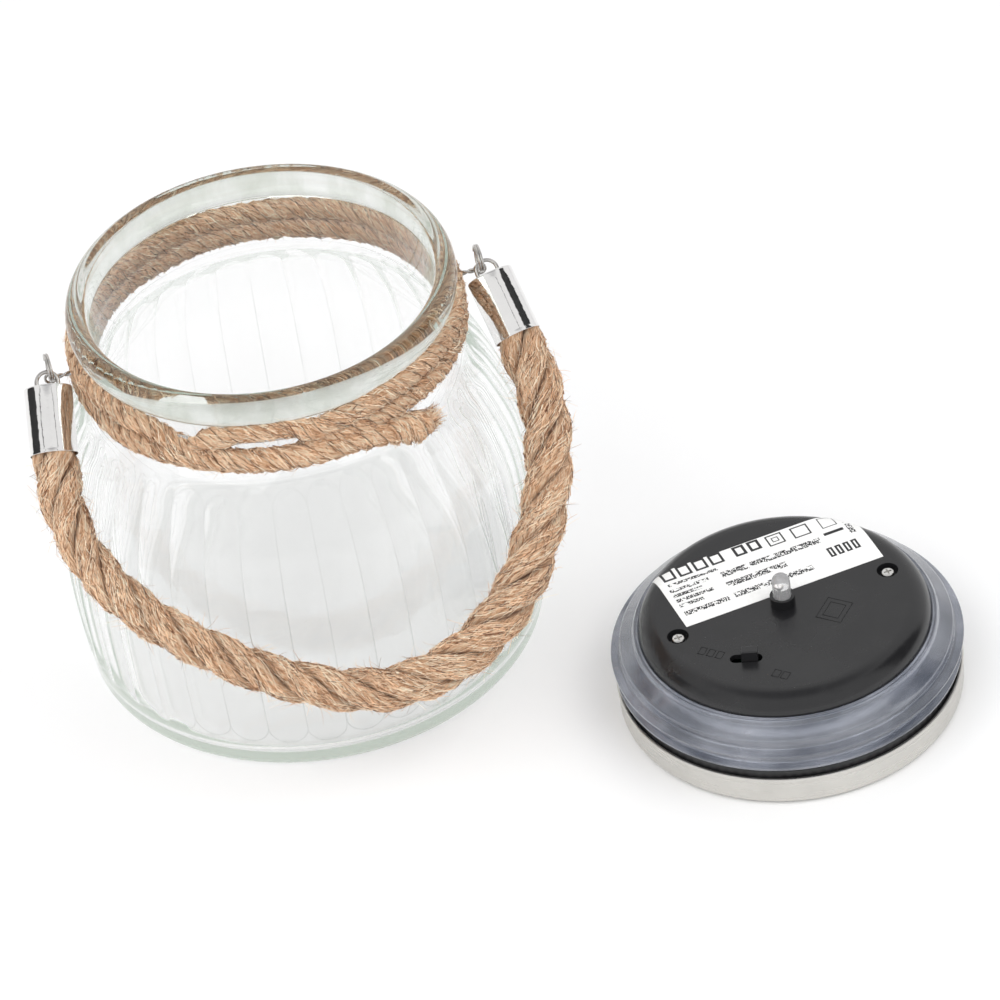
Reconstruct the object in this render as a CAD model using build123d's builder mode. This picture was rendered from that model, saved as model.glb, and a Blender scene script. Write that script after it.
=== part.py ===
from build123d import *
import os
from math import cos, pi, radians, sin, tan

# Glass jar lantern with a jute rope handle, and its solar lid lifted off and laid upside down
# beside it. Millimetres. The origin is the centre of the jar's base, +Z is up, X runs along the
# pivot axis of the handle and the handle hangs down over the front of the jar, towards -Y.

# ---- driving dimensions ----

JAR_HEIGHT = 120.0
MOUTH_R = 47.0             # straight inner wall of the neck
NECK_R = 50.0              # outer wall of the neck
NECK_BOTTOM_Z = 94.5
BELLY_R = 66.0             # over the ridges of the flutes
BELLY_Z = 38.0
SHOULDER = [(64.2, 64.0), (57.8, 83.0)]   # outer wall between belly and neck, as (radius, height)
FOOT_R = 64.2
HEEL_RADIUS = 4.2
WALL = 3.0
BASE_THICKNESS = 5.0
BEAD_R = 53.1              # outside of the rounded lip
BEAD_HALF_HEIGHT = 5.0

PIVOT_Z = 108.0            # height of the handle's pivot axis
HANDLE_DROP = 42.0         # degrees that the handle hangs below the horizontal at rest
ROPE_R = 6.1
RING_R = 3.6               # the ring's centre line, turning about the pivot axis
RING_WIRE_R = 0.5
RING_X = 60.0

LID_CENTRE = (115.0, -80.3)
LID_TURN = 4.0             # degrees about the vertical
CAP_R = 47.4
CAP_HEIGHT = 9.4
COVER_R = 39.8
COVER_TOP_Z = 30.5
SEAL_R = 48.0

BATTERY_R, BATTERY_LENGTH = 5.25, 44.5
LED_R = 2.5
SWITCH_TRAVEL = 2.0

os.makedirs("parts", exist_ok=True)


def save(builder, name):
    """Label the finished piece and write it to its own STEP file."""
    builder.part.label = name
    export_step(builder.part, f"parts/{name}.step")


# ---- the jar ----

BEAD_Z = JAR_HEIGHT - BEAD_HALF_HEIGHT
BEAD_MID_R = (BEAD_R + MOUTH_R) / 2
BEAD_HALF_WIDTH = (BEAD_R - MOUTH_R) / 2
INNER_HEEL_RADIUS = 9.0
INNER_NECK_BOTTOM_Z = NECK_BOTTOM_Z + 1.0
INNER_SHOULDER_DROP = 1.0

with BuildPart() as glass_jar:
    with BuildSketch(Plane.XZ):
        with BuildLine():
            foot = Line((0, 0), (FOOT_R - HEEL_RADIUS, 0))
            heel = CenterArc((FOOT_R - HEEL_RADIUS, HEEL_RADIUS), HEEL_RADIUS, -90, 90)
            side = Spline(heel @ 1, (BELLY_R, BELLY_Z), tangents=((0.1, 1), (0, 1)))
            shoulder = Spline(
                side @ 1,
                *SHOULDER,
                (NECK_R, NECK_BOTTOM_Z),
                tangents=((0, 1), (-0.3, 1)),
            )
            neck = Line(shoulder @ 1, (NECK_R, BEAD_Z))
            lip = Line(neck @ 1, (MOUTH_R, BEAD_Z))
            bore = Line(lip @ 1, (MOUTH_R, INNER_NECK_BOTTOM_Z))
            inner_heel_r = FOOT_R - WALL
            inner_heel_z = BASE_THICKNESS + INNER_HEEL_RADIUS
            inner_shoulder = Spline(
                bore @ 1,
                *[(r - WALL, z - INNER_SHOULDER_DROP) for r, z in reversed(SHOULDER)],
                (BELLY_R - WALL, BELLY_Z),
                tangents=((0.3, -1), (0, -1)),
            )
            inner_side = Spline(
                inner_shoulder @ 1, (inner_heel_r, inner_heel_z), tangents=((0, -1), (-0.1, -1))
            )
            inner_heel = CenterArc(
                (inner_heel_r - INNER_HEEL_RADIUS, inner_heel_z), INNER_HEEL_RADIUS, 0, -90
            )
            floor = Line(inner_heel @ 1, (0, BASE_THICKNESS))
            Line(floor @ 1, foot @ 0)
        make_face()
        with Locations((BEAD_MID_R, BEAD_Z)):
            Ellipse(BEAD_HALF_WIDTH, BEAD_HALF_HEIGHT)
    revolve(axis=Axis.Z)
save(glass_jar, "glass_jar")

# ---- the wire round the neck, with a small closed hook at each side for the handle's rings ----

NECK_WIRE_R = 0.6
NECK_WIRE_RING_R = NECK_R + NECK_WIRE_R + 0.1
HOOK_Z = PIVOT_Z - RING_R
HOOK_LOOP_R = 1.5
HOOK_WIRE_R = 0.45
HOOK_STEM_R = 0.7
STEM_LENGTH = RING_X - HOOK_LOOP_R - NECK_WIRE_RING_R
SIDES = {"left": -1, "right": 1}

with BuildPart() as neck_wire:
    with Locations((0, 0, HOOK_Z)):
        Torus(NECK_WIRE_RING_R, NECK_WIRE_R)
    for side_sign in SIDES.values():
        stem_start = (side_sign * NECK_WIRE_RING_R, 0, HOOK_Z)
        with BuildSketch(Plane(origin=stem_start, z_dir=(side_sign, 0, 0))):
            Circle(HOOK_STEM_R)
        extrude(amount=STEM_LENGTH)
        with Locations(Location((side_sign * RING_X, 0, HOOK_Z), (90, 0, 0))):
            Torus(HOOK_LOOP_R, HOOK_WIRE_R)
save(neck_wire, "neck_wire")

# ---- the jute cord wound round the neck: two full rows and the end of a third ----

CORD_INNER_R = NECK_WIRE_RING_R + NECK_WIRE_R + 0.1
CORD_THICKNESS = 2.8
CORD_ROW = 5.8
CORD_EDGE_RADIUS = 1.3
CORD_BOTTOM_Z = 97.6
CORD_MID_R = CORD_INNER_R + CORD_THICKNESS / 2
STEM_CLEARANCE = 0.2

# The third row only goes part of the way round, a little flatter and further out.
THIRD_ROW_START, THIRD_ROW_SWEEP = -117.0, 78.0     # degrees round the neck
THIRD_ROW_HEIGHT = 5.0
THIRD_ROW_PLACE = (CORD_MID_R + 0.6, CORD_BOTTOM_Z - 2.3)

with BuildPart() as neck_cord:
    for row in range(2):
        with BuildSketch(Plane.XZ):
            with Locations((CORD_MID_R, CORD_BOTTOM_Z + CORD_ROW * (row + 0.5))):
                RectangleRounded(CORD_THICKNESS, CORD_ROW, CORD_EDGE_RADIUS)
        revolve(axis=Axis.Z)
    with BuildSketch(Plane.XZ.rotated((0, 0, THIRD_ROW_START))):
        with Locations(THIRD_ROW_PLACE):
            RectangleRounded(CORD_THICKNESS, THIRD_ROW_HEIGHT, CORD_EDGE_RADIUS)
    revolve(axis=Axis.Z, revolution_arc=THIRD_ROW_SWEEP)
    for side_sign in SIDES.values():
        with BuildSketch(Plane(origin=(side_sign * NECK_R, 0, HOOK_Z), z_dir=(side_sign, 0, 0))):
            Circle(HOOK_STEM_R + STEM_CLEARANCE)
        extrude(amount=RING_X - NECK_R, mode=Mode.SUBTRACT)
save(neck_cord, "neck_cord")

# ---- the handle: rings, ferrules with wire eyes, and the rope, all in one hanging plane ----

# The handle's plane holds the pivot axis. Its x runs along the axis, its y down along the handle.
drop = radians(HANDLE_DROP)
HANDLE_PLANE = Plane(origin=(0, 0, PIVOT_Z), x_dir=(1, 0, 0), z_dir=(0, sin(drop), -cos(drop)))

# Corners of the rope's route in that plane, from the left ferrule to the right one.
ROPE_ROUTE = [
    (-61.7, 6.0),
    (-64.4, 22.5),
    (-66.0, 39.5),
    (-62.2, 55.0),
    (-52.8, 70.0),
    (-38.8, 83.5),
    (-21.0, 95.8),
    (2.0, 104.2),
    (23.0, 102.6),
    (41.8, 92.2),
    (55.8, 75.2),
    (64.6, 55.0),
    (66.6, 37.0),
    (64.2, 21.0),
    (61.7, 6.0),
]
FERRULE_CAP = 0.8
FERRULE_LENGTH = 18.5
FERRULE_R = 6.6
FERRULE_BORE_R = 6.3
FERRULE_EDGE_RADIUS = 0.6
EYE_WIRE_R = 0.55
EYE_HALF_WIDTH = 2.9
EYE_LEG = 1.4


def rope_radii(route):
    """The largest tangent arc that each corner's two runs allow."""
    points = [Vector(*corner) for corner in route]
    radii = []
    for before, corner, after in zip(points, points[1:], points[2:]):
        run_in, run_out = corner - before, after - corner
        half_turn = radians(run_in.get_angle(run_out)) / 2
        radii.append(0.45 * min(run_in.length, run_out.length) / tan(half_turn))
    return radii


radii = rope_radii(ROPE_ROUTE)
print("rope arc radii:", [round(radius, 1) for radius in radii])

with BuildPart() as handle_rope:
    with BuildLine(HANDLE_PLANE) as rope_line:
        FilletPolyline(*ROPE_ROUTE, radius=radii)
    rope_path = rope_line.wires()[0]
    with BuildSketch(Plane(origin=rope_path @ 0, z_dir=rope_path % 0)):
        Circle(ROPE_R)
    sweep(path=rope_path)
save(handle_rope, "handle_rope")
print("rope length", round(rope_path.length, 1), "volume ratio",
      round(handle_rope.part.volume / (pi * ROPE_R**2 * rope_path.length), 4))


def ferrule_plane(end, inner):
    """The ferrule's own plane: z runs into the rope from its closed end, x across the eye."""
    rope_end = HANDLE_PLANE.from_local_coords(Vector(*end))
    along = HANDLE_PLANE.from_local_coords(Vector(*inner)) - rope_end
    origin = rope_end - along.normalized() * FERRULE_CAP
    across = along.cross(HANDLE_PLANE.z_dir)
    return Plane(origin=origin, x_dir=across, z_dir=along)


FERRULE_ENDS = {"left": ROPE_ROUTE[:2], "right": ROPE_ROUTE[:-3:-1]}

for side_name, (end, inner) in FERRULE_ENDS.items():
    cup_plane = ferrule_plane(end, inner)

    with BuildPart() as ferrule:
        with BuildSketch(cup_plane):
            Circle(FERRULE_R)
        extrude(amount=FERRULE_LENGTH)
        closed_end = ferrule.faces().sort_by(Axis(cup_plane.origin, cup_plane.z_dir))[0]
        fillet(closed_end.edges(), FERRULE_EDGE_RADIUS)
        with BuildSketch(cup_plane.offset(FERRULE_CAP)):
            Circle(FERRULE_BORE_R)
        extrude(amount=FERRULE_LENGTH, mode=Mode.SUBTRACT)
    save(ferrule, f"ferrule_{side_name}")

    eye_plane = Plane(origin=cup_plane.origin, x_dir=cup_plane.x_dir, z_dir=cup_plane.y_dir)
    with BuildPart() as ferrule_eye:
        with BuildLine(eye_plane) as eye_line:
            Line((-EYE_HALF_WIDTH, 0), (-EYE_HALF_WIDTH, EYE_LEG))
            arch = CenterArc((0, EYE_LEG), EYE_HALF_WIDTH, 180, -180)
            Line(arch @ 1, (EYE_HALF_WIDTH, 0))
        eye_path = eye_line.wires()[0]
        with BuildSketch(Plane(origin=eye_path @ 0, z_dir=eye_path % 0)):
            Circle(EYE_WIRE_R)
        sweep(path=eye_path)
    save(ferrule_eye, f"ferrule_eye_{side_name}")

    with BuildPart() as handle_ring:
        with Locations(Location((SIDES[side_name] * RING_X, 0, PIVOT_Z), (0, 90, 0))):
            Torus(RING_R, RING_WIRE_R)
    save(handle_ring, f"handle_ring_{side_name}")

# ---- the lid, upside down: its steel face is on the floor and its housing points up ----

turn = radians(LID_TURN)
LID_PLANE = Plane(origin=(*LID_CENTRE, 0), x_dir=(cos(turn), sin(turn), 0), z_dir=(0, 0, 1))
LID_SECTION = Plane(origin=LID_PLANE.origin, x_dir=LID_PLANE.x_dir, z_dir=-LID_PLANE.y_dir)
LID_AXIS = Axis(LID_PLANE.origin, (0, 0, 1))

SHEET = 0.5
CAP_EDGE_RADIUS = 2.5
CAP_HEM = 1.0
WINDOW_HOLE_R = 27.0
WINDOW_R = 31.0
WINDOW_THICKNESS = 1.4
PANEL_SIZE = 40.0
PANEL_THICKNESS = 1.8
WINDOW_CHAMFER = 0.4
PANEL_GAP = 0.2
TRAY_Z = SHEET + WINDOW_THICKNESS + PANEL_THICKNESS + PANEL_GAP
TRAY_PLATE = 1.6
TRAY_R = 38.0
LINER_R = 46.2
LINER_WALL = 1.2
LINER_TOP_Z = 11.4
LINER_FLANGE_Z = 9.0
LINER_FLANGE_THICKNESS = 1.5
LINER_BORE_R = COVER_R - 1.4
LINER_BOTTOM_Z = SHEET + 0.3
RIB_COUNT = 90
RIB_GROOVE_R = 0.35
RIB_BOTTOM_Z = CAP_HEIGHT + 0.2

with BuildPart() as lid_cap:
    with BuildSketch(LID_SECTION):
        with BuildLine():
            face = Line((WINDOW_HOLE_R, 0), (CAP_R - CAP_EDGE_RADIUS, 0))
            bend = CenterArc((CAP_R - CAP_EDGE_RADIUS, CAP_EDGE_RADIUS), CAP_EDGE_RADIUS, -90, 90)
            skirt = Line(bend @ 1, (CAP_R, CAP_HEIGHT))
            Polyline(
                skirt @ 1,
                (CAP_R - CAP_HEM, CAP_HEIGHT),
                (CAP_R - CAP_HEM, CAP_HEIGHT - SHEET),
                (CAP_R - SHEET, CAP_HEIGHT - SHEET),
                (CAP_R - SHEET, CAP_EDGE_RADIUS),
            )
            CenterArc(
                (CAP_R - CAP_EDGE_RADIUS, CAP_EDGE_RADIUS), CAP_EDGE_RADIUS - SHEET, 0, -90
            )
            Polyline(
                (CAP_R - CAP_EDGE_RADIUS, SHEET), (WINDOW_HOLE_R, SHEET), (WINDOW_HOLE_R, 0)
            )
        make_face()
    revolve(axis=LID_AXIS)
save(lid_cap, "lid_cap")

with BuildPart() as solar_window:
    with BuildSketch(LID_PLANE.offset(SHEET)):
        Circle(WINDOW_R)
    extrude(amount=WINDOW_THICKNESS)
    chamfer(solar_window.edges().group_by(Axis.Z)[-1], WINDOW_CHAMFER)
save(solar_window, "solar_window")

with BuildPart() as solar_panel:
    with BuildSketch(LID_PLANE.offset(SHEET + WINDOW_THICKNESS)):
        Rectangle(PANEL_SIZE, PANEL_SIZE)
    extrude(amount=PANEL_THICKNESS)
save(solar_panel, "solar_panel")

# The liner clips the housing into the cap. Its upper wall stands above the cap and is ribbed.
with BuildPart() as liner_ring:
    with BuildSketch(LID_SECTION):
        with BuildLine():
            Polyline(
                (LINER_R, CAP_EDGE_RADIUS + 0.1),
                (LINER_R, LINER_TOP_Z),
                (LINER_R - LINER_WALL, LINER_TOP_Z),
                (LINER_R - LINER_WALL, LINER_FLANGE_Z + LINER_FLANGE_THICKNESS),
                (LINER_BORE_R, LINER_FLANGE_Z + LINER_FLANGE_THICKNESS),
                (LINER_BORE_R, LINER_FLANGE_Z),
                (LINER_R - LINER_WALL, LINER_FLANGE_Z),
                (LINER_R - LINER_WALL, CAP_EDGE_RADIUS),
                (LINER_R - 2 * LINER_WALL, LINER_BOTTOM_Z),
                (LINER_R - LINER_WALL, LINER_BOTTOM_Z),
                close=True,
            )
        make_face()
    revolve(axis=LID_AXIS)
    with BuildSketch(LID_PLANE.offset(RIB_BOTTOM_Z)):
        with PolarLocations(LINER_R, RIB_COUNT):
            Circle(RIB_GROOVE_R)
    extrude(amount=LINER_TOP_Z - RIB_BOTTOM_Z, mode=Mode.SUBTRACT)
save(liner_ring, "liner_ring")

SEAL_BORE_R = COVER_R + 0.05
SEAL_BOTTOM_Z = LINER_FLANGE_Z + LINER_FLANGE_THICKNESS
SEAL_FOOT_R = LINER_R - LINER_WALL - 0.1
SEAL_BODY_R = 45.5
CONE_TOP_R = 41.6
LOWER_FIN_R = SEAL_R - 0.1
LOWER_FIN_Z = 13.0          # middle of each fin's edge
UPPER_FIN_Z = 17.8
FIN_HALF_EDGE = 0.4
FIN_ROOT = 1.1              # half the thickness where a fin leaves the body
CONE_BOTTOM_Z = 21.4
CONE_TOP_Z = 23.8
SEAL_TOP_Z = 25.2

with BuildPart() as seal_ring:
    with BuildSketch(LID_SECTION):
        with BuildLine():
            Polyline(
                (SEAL_BORE_R, SEAL_BOTTOM_Z),
                (SEAL_FOOT_R, SEAL_BOTTOM_Z),
                (SEAL_FOOT_R, LOWER_FIN_Z - FIN_ROOT),
                (LOWER_FIN_R, LOWER_FIN_Z - FIN_HALF_EDGE),
                (LOWER_FIN_R, LOWER_FIN_Z + FIN_HALF_EDGE),
                (SEAL_BODY_R, LOWER_FIN_Z + FIN_ROOT),
                (SEAL_BODY_R, UPPER_FIN_Z - FIN_ROOT),
                (SEAL_R, UPPER_FIN_Z - FIN_HALF_EDGE),
                (SEAL_R, UPPER_FIN_Z + FIN_HALF_EDGE),
                (SEAL_BODY_R, UPPER_FIN_Z + FIN_ROOT),
                (SEAL_BODY_R, CONE_BOTTOM_Z),
                (CONE_TOP_R, CONE_TOP_Z),
                (CONE_TOP_R - 0.8, SEAL_TOP_Z),
                (SEAL_BORE_R, SEAL_TOP_Z),
                close=True,
            )
        make_face()
    revolve(axis=LID_AXIS)
save(seal_ring, "seal_ring")

# ---- the housing: tray below, domed cover above, joined by two screws ----

SCREW_SPACING_R = 30.4
SCREW_HEAD_R = 1.8
SCREW_HEAD_HEIGHT = 1.3
SCREW_HEAD_EDGE = 0.5
SCREW_SHANK_R = 1.1
SCREW_LENGTH = 15.0
DRIVER_LENGTH, DRIVER_WIDTH, DRIVER_DEPTH = 2.2, 0.5, 0.8
RECESS_R = 2.95
RECESS_DEPTH = 1.8
POST_R = 3.8
POST_MEET_Z = 16.0
COVER_WALL = 1.6
COVER_DOME_RADIUS = 5.7
COVER_BOTTOM_Z = SEAL_BOTTOM_Z + 0.1
COLLAR_R = 3.4
COLLAR_HEIGHT = 3.0
SLOT_CENTRE = (-17.0, -16.5)
SLOT_ANGLE = -21.0
SLOT_LENGTH, SLOT_WIDTH = 8.8, 3.3
KNOB_LENGTH, KNOB_WIDTH = 4.4, 2.6
KNOB_TOP_Z = COVER_TOP_Z + 3.2
BOARD_Z = 22.0
BOARD_THICKNESS = 1.2
SWITCH_BODY_HEIGHT = 3.7

with BuildPart() as panel_tray:
    with BuildSketch(LID_PLANE.offset(TRAY_Z)):
        Circle(TRAY_R)
    extrude(amount=TRAY_PLATE)
    with BuildSketch(LID_PLANE.offset(TRAY_Z + TRAY_PLATE)):
        Circle(TRAY_R)
        Circle(TRAY_R - COVER_WALL, mode=Mode.SUBTRACT)
        with PolarLocations(SCREW_SPACING_R, 2):
            Circle(POST_R)
    extrude(amount=LINER_FLANGE_Z - TRAY_Z - TRAY_PLATE - 0.1)
    with BuildSketch(LID_PLANE.offset(TRAY_Z + TRAY_PLATE)):
        with PolarLocations(SCREW_SPACING_R, 2):
            Circle(POST_R)
    extrude(amount=POST_MEET_Z - TRAY_Z - TRAY_PLATE)
    with BuildSketch(LID_PLANE.offset(TRAY_Z + TRAY_PLATE)):
        with PolarLocations(SCREW_SPACING_R, 2):
            Circle(SCREW_SHANK_R + 0.02)
    extrude(amount=POST_MEET_Z, mode=Mode.SUBTRACT)
save(panel_tray, "panel_tray")


def dome_outline(radius, top_z, dome_radius, bottom_z):
    """Half section of a round cover, drawn in the lid's section plane."""
    with BuildLine() as outline:
        wall = Line((radius, bottom_z), (radius, top_z - dome_radius))
        dome = CenterArc((radius - dome_radius, top_z - dome_radius), dome_radius, 0, 90)
        crown = Line(dome @ 1, (0, top_z))
        Polyline(crown @ 1, (0, bottom_z), wall @ 0)
    return outline.line


cover_outside = dome_outline(COVER_R, COVER_TOP_Z, COVER_DOME_RADIUS, COVER_BOTTOM_Z)
cover_inside = dome_outline(
    COVER_R - COVER_WALL, COVER_TOP_Z - COVER_WALL, COVER_DOME_RADIUS - COVER_WALL, COVER_BOTTOM_Z
)

with BuildPart() as base_cover:
    with BuildSketch(LID_SECTION):
        with BuildLine():
            add(cover_outside)
        make_face()
        with BuildLine():
            add(cover_inside)
        make_face(mode=Mode.SUBTRACT)
    revolve(axis=LID_AXIS)
    with BuildSketch(LID_PLANE.offset(POST_MEET_Z)):
        with PolarLocations(SCREW_SPACING_R, 2):
            Circle(POST_R)
    extrude(amount=COVER_TOP_Z - COVER_WALL / 2 - POST_MEET_Z)
    with BuildSketch(LID_PLANE.offset(COVER_TOP_Z - COVER_WALL)):
        Circle(COLLAR_R)
    extrude(amount=COVER_WALL + COLLAR_HEIGHT)
    with BuildSketch(LID_PLANE.offset(POST_MEET_Z)):
        with PolarLocations(SCREW_SPACING_R, 2):
            Circle(SCREW_SHANK_R + 0.1)
        Circle(LED_R + 0.05)
        with Locations(Location((*SLOT_CENTRE, 0), SLOT_ANGLE)):
            SlotOverall(SLOT_LENGTH, SLOT_WIDTH)
    extrude(amount=COVER_TOP_Z, mode=Mode.SUBTRACT)
    with BuildSketch(LID_PLANE.offset(COVER_TOP_Z - RECESS_DEPTH)):
        with PolarLocations(SCREW_SPACING_R, 2):
            Circle(RECESS_R)
    extrude(amount=RECESS_DEPTH, mode=Mode.SUBTRACT)
save(base_cover, "base_cover")

SEAT_PLANE = LID_PLANE.offset(COVER_TOP_Z - RECESS_DEPTH)

with BuildPart() as cover_screws:
    with BuildSketch(SEAT_PLANE):
        with PolarLocations(SCREW_SPACING_R, 2):
            Circle(SCREW_HEAD_R)
    extrude(amount=SCREW_HEAD_HEIGHT)
    fillet(cover_screws.edges().group_by(Axis.Z)[-1], SCREW_HEAD_EDGE)
    with BuildSketch(SEAT_PLANE):
        with PolarLocations(SCREW_SPACING_R, 2):
            Circle(SCREW_SHANK_R)
    extrude(amount=-SCREW_LENGTH)
    with BuildSketch(SEAT_PLANE.offset(SCREW_HEAD_HEIGHT)):
        with PolarLocations(SCREW_SPACING_R, 2):
            Rectangle(DRIVER_LENGTH, DRIVER_WIDTH)
            Rectangle(DRIVER_WIDTH, DRIVER_LENGTH)
    extrude(amount=-DRIVER_DEPTH, mode=Mode.SUBTRACT)
save(cover_screws, "cover_screws")

# ---- the rating label, which wraps over the edge of the dome ----

LABEL_WIDTH, LABEL_HEIGHT, LABEL_THICKNESS = 58.6, 24.0, 0.12
LABEL_CORNER = (-27.0, 2.4)
LABEL_ANGLE = 3.2
LABEL_BOTTOM_Z = COVER_TOP_Z - COVER_DOME_RADIUS + 1.2    # how far it reaches down the dome

label_outside = dome_outline(
    COVER_R + LABEL_THICKNESS, COVER_TOP_Z + LABEL_THICKNESS, COVER_DOME_RADIUS + LABEL_THICKNESS,
    COVER_BOTTOM_Z,
)
label_inside = dome_outline(COVER_R, COVER_TOP_Z, COVER_DOME_RADIUS, COVER_BOTTOM_Z)

with BuildPart() as label:
    with BuildSketch(LID_SECTION):
        with BuildLine():
            add(label_outside)
        make_face()
        with BuildLine():
            add(label_inside)
        make_face(mode=Mode.SUBTRACT)
    revolve(axis=LID_AXIS)
    with BuildSketch(LID_PLANE.offset(LABEL_BOTTOM_Z)):
        with Locations(Location((*LABEL_CORNER, 0), LABEL_ANGLE)):
            Rectangle(LABEL_WIDTH, LABEL_HEIGHT, align=(Align.MIN, Align.MIN))
    extrude(amount=COVER_DOME_RADIUS, mode=Mode.INTERSECT)
save(label, "label")

# ---- the electronics inside the housing ----

BOARD_CORNER = (-25.5, -26.0)
BOARD_SIZE = (33.5, 31.5)
LED_LEAD_X = LED_R / 2
LED_LEAD_WIDTH = 0.5
LED_LEAD_HOLE_R = 0.4
CHIP_PLACE, CHIP_SIZE, CHIP_HEIGHT = (-8.0, -16.0), (4.0, 3.2), 1.6
COIL_PLACE, COIL_R = (0.0, -16.0), 2.2
CAPACITOR_PLACE, CAPACITOR_R = (3.0, -8.0), 1.6
TALL_PART_HEIGHT = 4.2
SWITCH_BODY_WIDTH = 4.4
SLIDE_CLEARANCE = 0.05
KNOB_EDGE = 0.3
HOLDER_Y = 16.0
HOLDER_WALL = 1.0
HOLDER_HEIGHT = 8.0
HOLDER_Z = TRAY_Z + TRAY_PLATE
HOLDER_INSIDE = (BATTERY_LENGTH + 2, 2 * BATTERY_R + 0.4)
BATTERY_Z = HOLDER_Z + HOLDER_WALL + BATTERY_R + 0.05
BATTERY_BUTTON_R, BATTERY_BUTTON_HEIGHT = 1.9, 1.0
CONTACT_THICKNESS, CONTACT_WIDTH, CONTACT_HEIGHT = 0.4, 8.0, 9.5
CONTACT_X = BATTERY_LENGTH / 2 + 0.6
KNOB_SHIFT = SWITCH_TRAVEL / 2

with BuildPart() as circuit_board:
    with BuildSketch(LID_PLANE.offset(BOARD_Z)):
        with Locations(BOARD_CORNER):
            Rectangle(*BOARD_SIZE, align=(Align.MIN, Align.MIN))
        with Locations((-LED_LEAD_X, 0), (LED_LEAD_X, 0)):
            Circle(LED_LEAD_HOLE_R, mode=Mode.SUBTRACT)
    extrude(amount=BOARD_THICKNESS)
save(circuit_board, "circuit_board")

# A light-driver chip, its coil and a small capacitor, all on the board.
BOARD_FACE = LID_PLANE.offset(BOARD_Z + BOARD_THICKNESS)

with BuildPart() as board_parts:
    with BuildSketch(BOARD_FACE):
        with Locations(CHIP_PLACE):
            Rectangle(*CHIP_SIZE)
    extrude(amount=CHIP_HEIGHT)
    with BuildSketch(BOARD_FACE):
        with Locations(COIL_PLACE):
            Circle(COIL_R)
        with Locations(CAPACITOR_PLACE):
            Circle(CAPACITOR_R)
    extrude(amount=TALL_PART_HEIGHT)
save(board_parts, "board_parts")

with BuildPart() as switch_body:
    with BuildSketch(BOARD_FACE):
        with Locations(Location((*SLOT_CENTRE, 0), SLOT_ANGLE)):
            Rectangle(SLOT_LENGTH, SWITCH_BODY_WIDTH)
    extrude(amount=SWITCH_BODY_HEIGHT)
save(switch_body, "switch_body")

KNOB_BOTTOM_Z = BOARD_Z + BOARD_THICKNESS + SWITCH_BODY_HEIGHT + SLIDE_CLEARANCE
slot_turn = radians(SLOT_ANGLE)
KNOB_CENTRE = (
    SLOT_CENTRE[0] + KNOB_SHIFT * cos(slot_turn),
    SLOT_CENTRE[1] + KNOB_SHIFT * sin(slot_turn),
)

with BuildPart() as switch_knob:
    with BuildSketch(LID_PLANE.offset(KNOB_BOTTOM_Z)):
        with Locations(Location((*KNOB_CENTRE, 0), SLOT_ANGLE)):
            Rectangle(KNOB_LENGTH, KNOB_WIDTH)
    extrude(amount=KNOB_TOP_Z - KNOB_BOTTOM_Z)
    fillet(switch_knob.edges().group_by(Axis.Z)[-1], KNOB_EDGE)
save(switch_knob, "switch_knob")

# The lamp's clear body stands in the collar; its two leads go down into the board.
LED_TOP_Z = COVER_TOP_Z + COLLAR_HEIGHT + 7.2
LED_BOTTOM_Z = COVER_TOP_Z + 0.6
LED_DOME_RADIUS = LED_R - 0.05
LED_LEAD_END_Z = BOARD_Z - 1.0

with BuildPart() as led:
    with BuildSketch(LID_PLANE.offset(LED_BOTTOM_Z)):
        Circle(LED_R)
    extrude(amount=LED_TOP_Z - LED_BOTTOM_Z)
    fillet(led.edges().group_by(Axis.Z)[-1], LED_DOME_RADIUS)
    with BuildSketch(LID_PLANE.offset(LED_BOTTOM_Z)):
        with Locations((-LED_LEAD_X, 0), (LED_LEAD_X, 0)):
            Rectangle(LED_LEAD_WIDTH, LED_LEAD_WIDTH)
    extrude(amount=LED_LEAD_END_Z - LED_BOTTOM_Z)
save(led, "led")

with BuildPart() as battery_holder:
    with BuildSketch(LID_PLANE.offset(HOLDER_Z)):
        with Locations((0, HOLDER_Y)):
            Rectangle(*[side + 2 * HOLDER_WALL for side in HOLDER_INSIDE])
    extrude(amount=HOLDER_HEIGHT)
    with BuildSketch(LID_PLANE.offset(HOLDER_Z + HOLDER_WALL)):
        with Locations((0, HOLDER_Y)):
            Rectangle(*HOLDER_INSIDE)
    extrude(amount=HOLDER_HEIGHT, mode=Mode.SUBTRACT)
save(battery_holder, "battery_holder")

BATTERY_PLANE = Plane(
    origin=LID_PLANE.from_local_coords(Vector(-BATTERY_LENGTH / 2, HOLDER_Y, BATTERY_Z)),
    x_dir=LID_PLANE.y_dir,
    z_dir=LID_PLANE.x_dir,
)

with BuildPart() as battery:
    with BuildSketch(BATTERY_PLANE):
        Circle(BATTERY_R)
    extrude(amount=BATTERY_LENGTH - BATTERY_BUTTON_HEIGHT)
    with BuildSketch(BATTERY_PLANE.offset(BATTERY_LENGTH - BATTERY_BUTTON_HEIGHT)):
        Circle(BATTERY_BUTTON_R)
    extrude(amount=BATTERY_BUTTON_HEIGHT)
save(battery, "battery")

with BuildPart() as battery_contacts:
    with BuildSketch(LID_PLANE.offset(HOLDER_Z + HOLDER_WALL)):
        with Locations((-CONTACT_X, HOLDER_Y), (CONTACT_X, HOLDER_Y)):
            Rectangle(CONTACT_THICKNESS, CONTACT_WIDTH)
    extrude(amount=CONTACT_HEIGHT)
save(battery_contacts, "battery_contacts")

# ---- insulated leads inside the housing ----

LEAD_R = 0.6
LEAD_BEND_R = 1.2
LEAD_TOP_Z = BOARD_Z - 0.1
LEAD_START_Z = HOLDER_Z + 0.1
CONTACT_TOP_Z = HOLDER_Z + HOLDER_WALL + CONTACT_HEIGHT + 0.1

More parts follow.
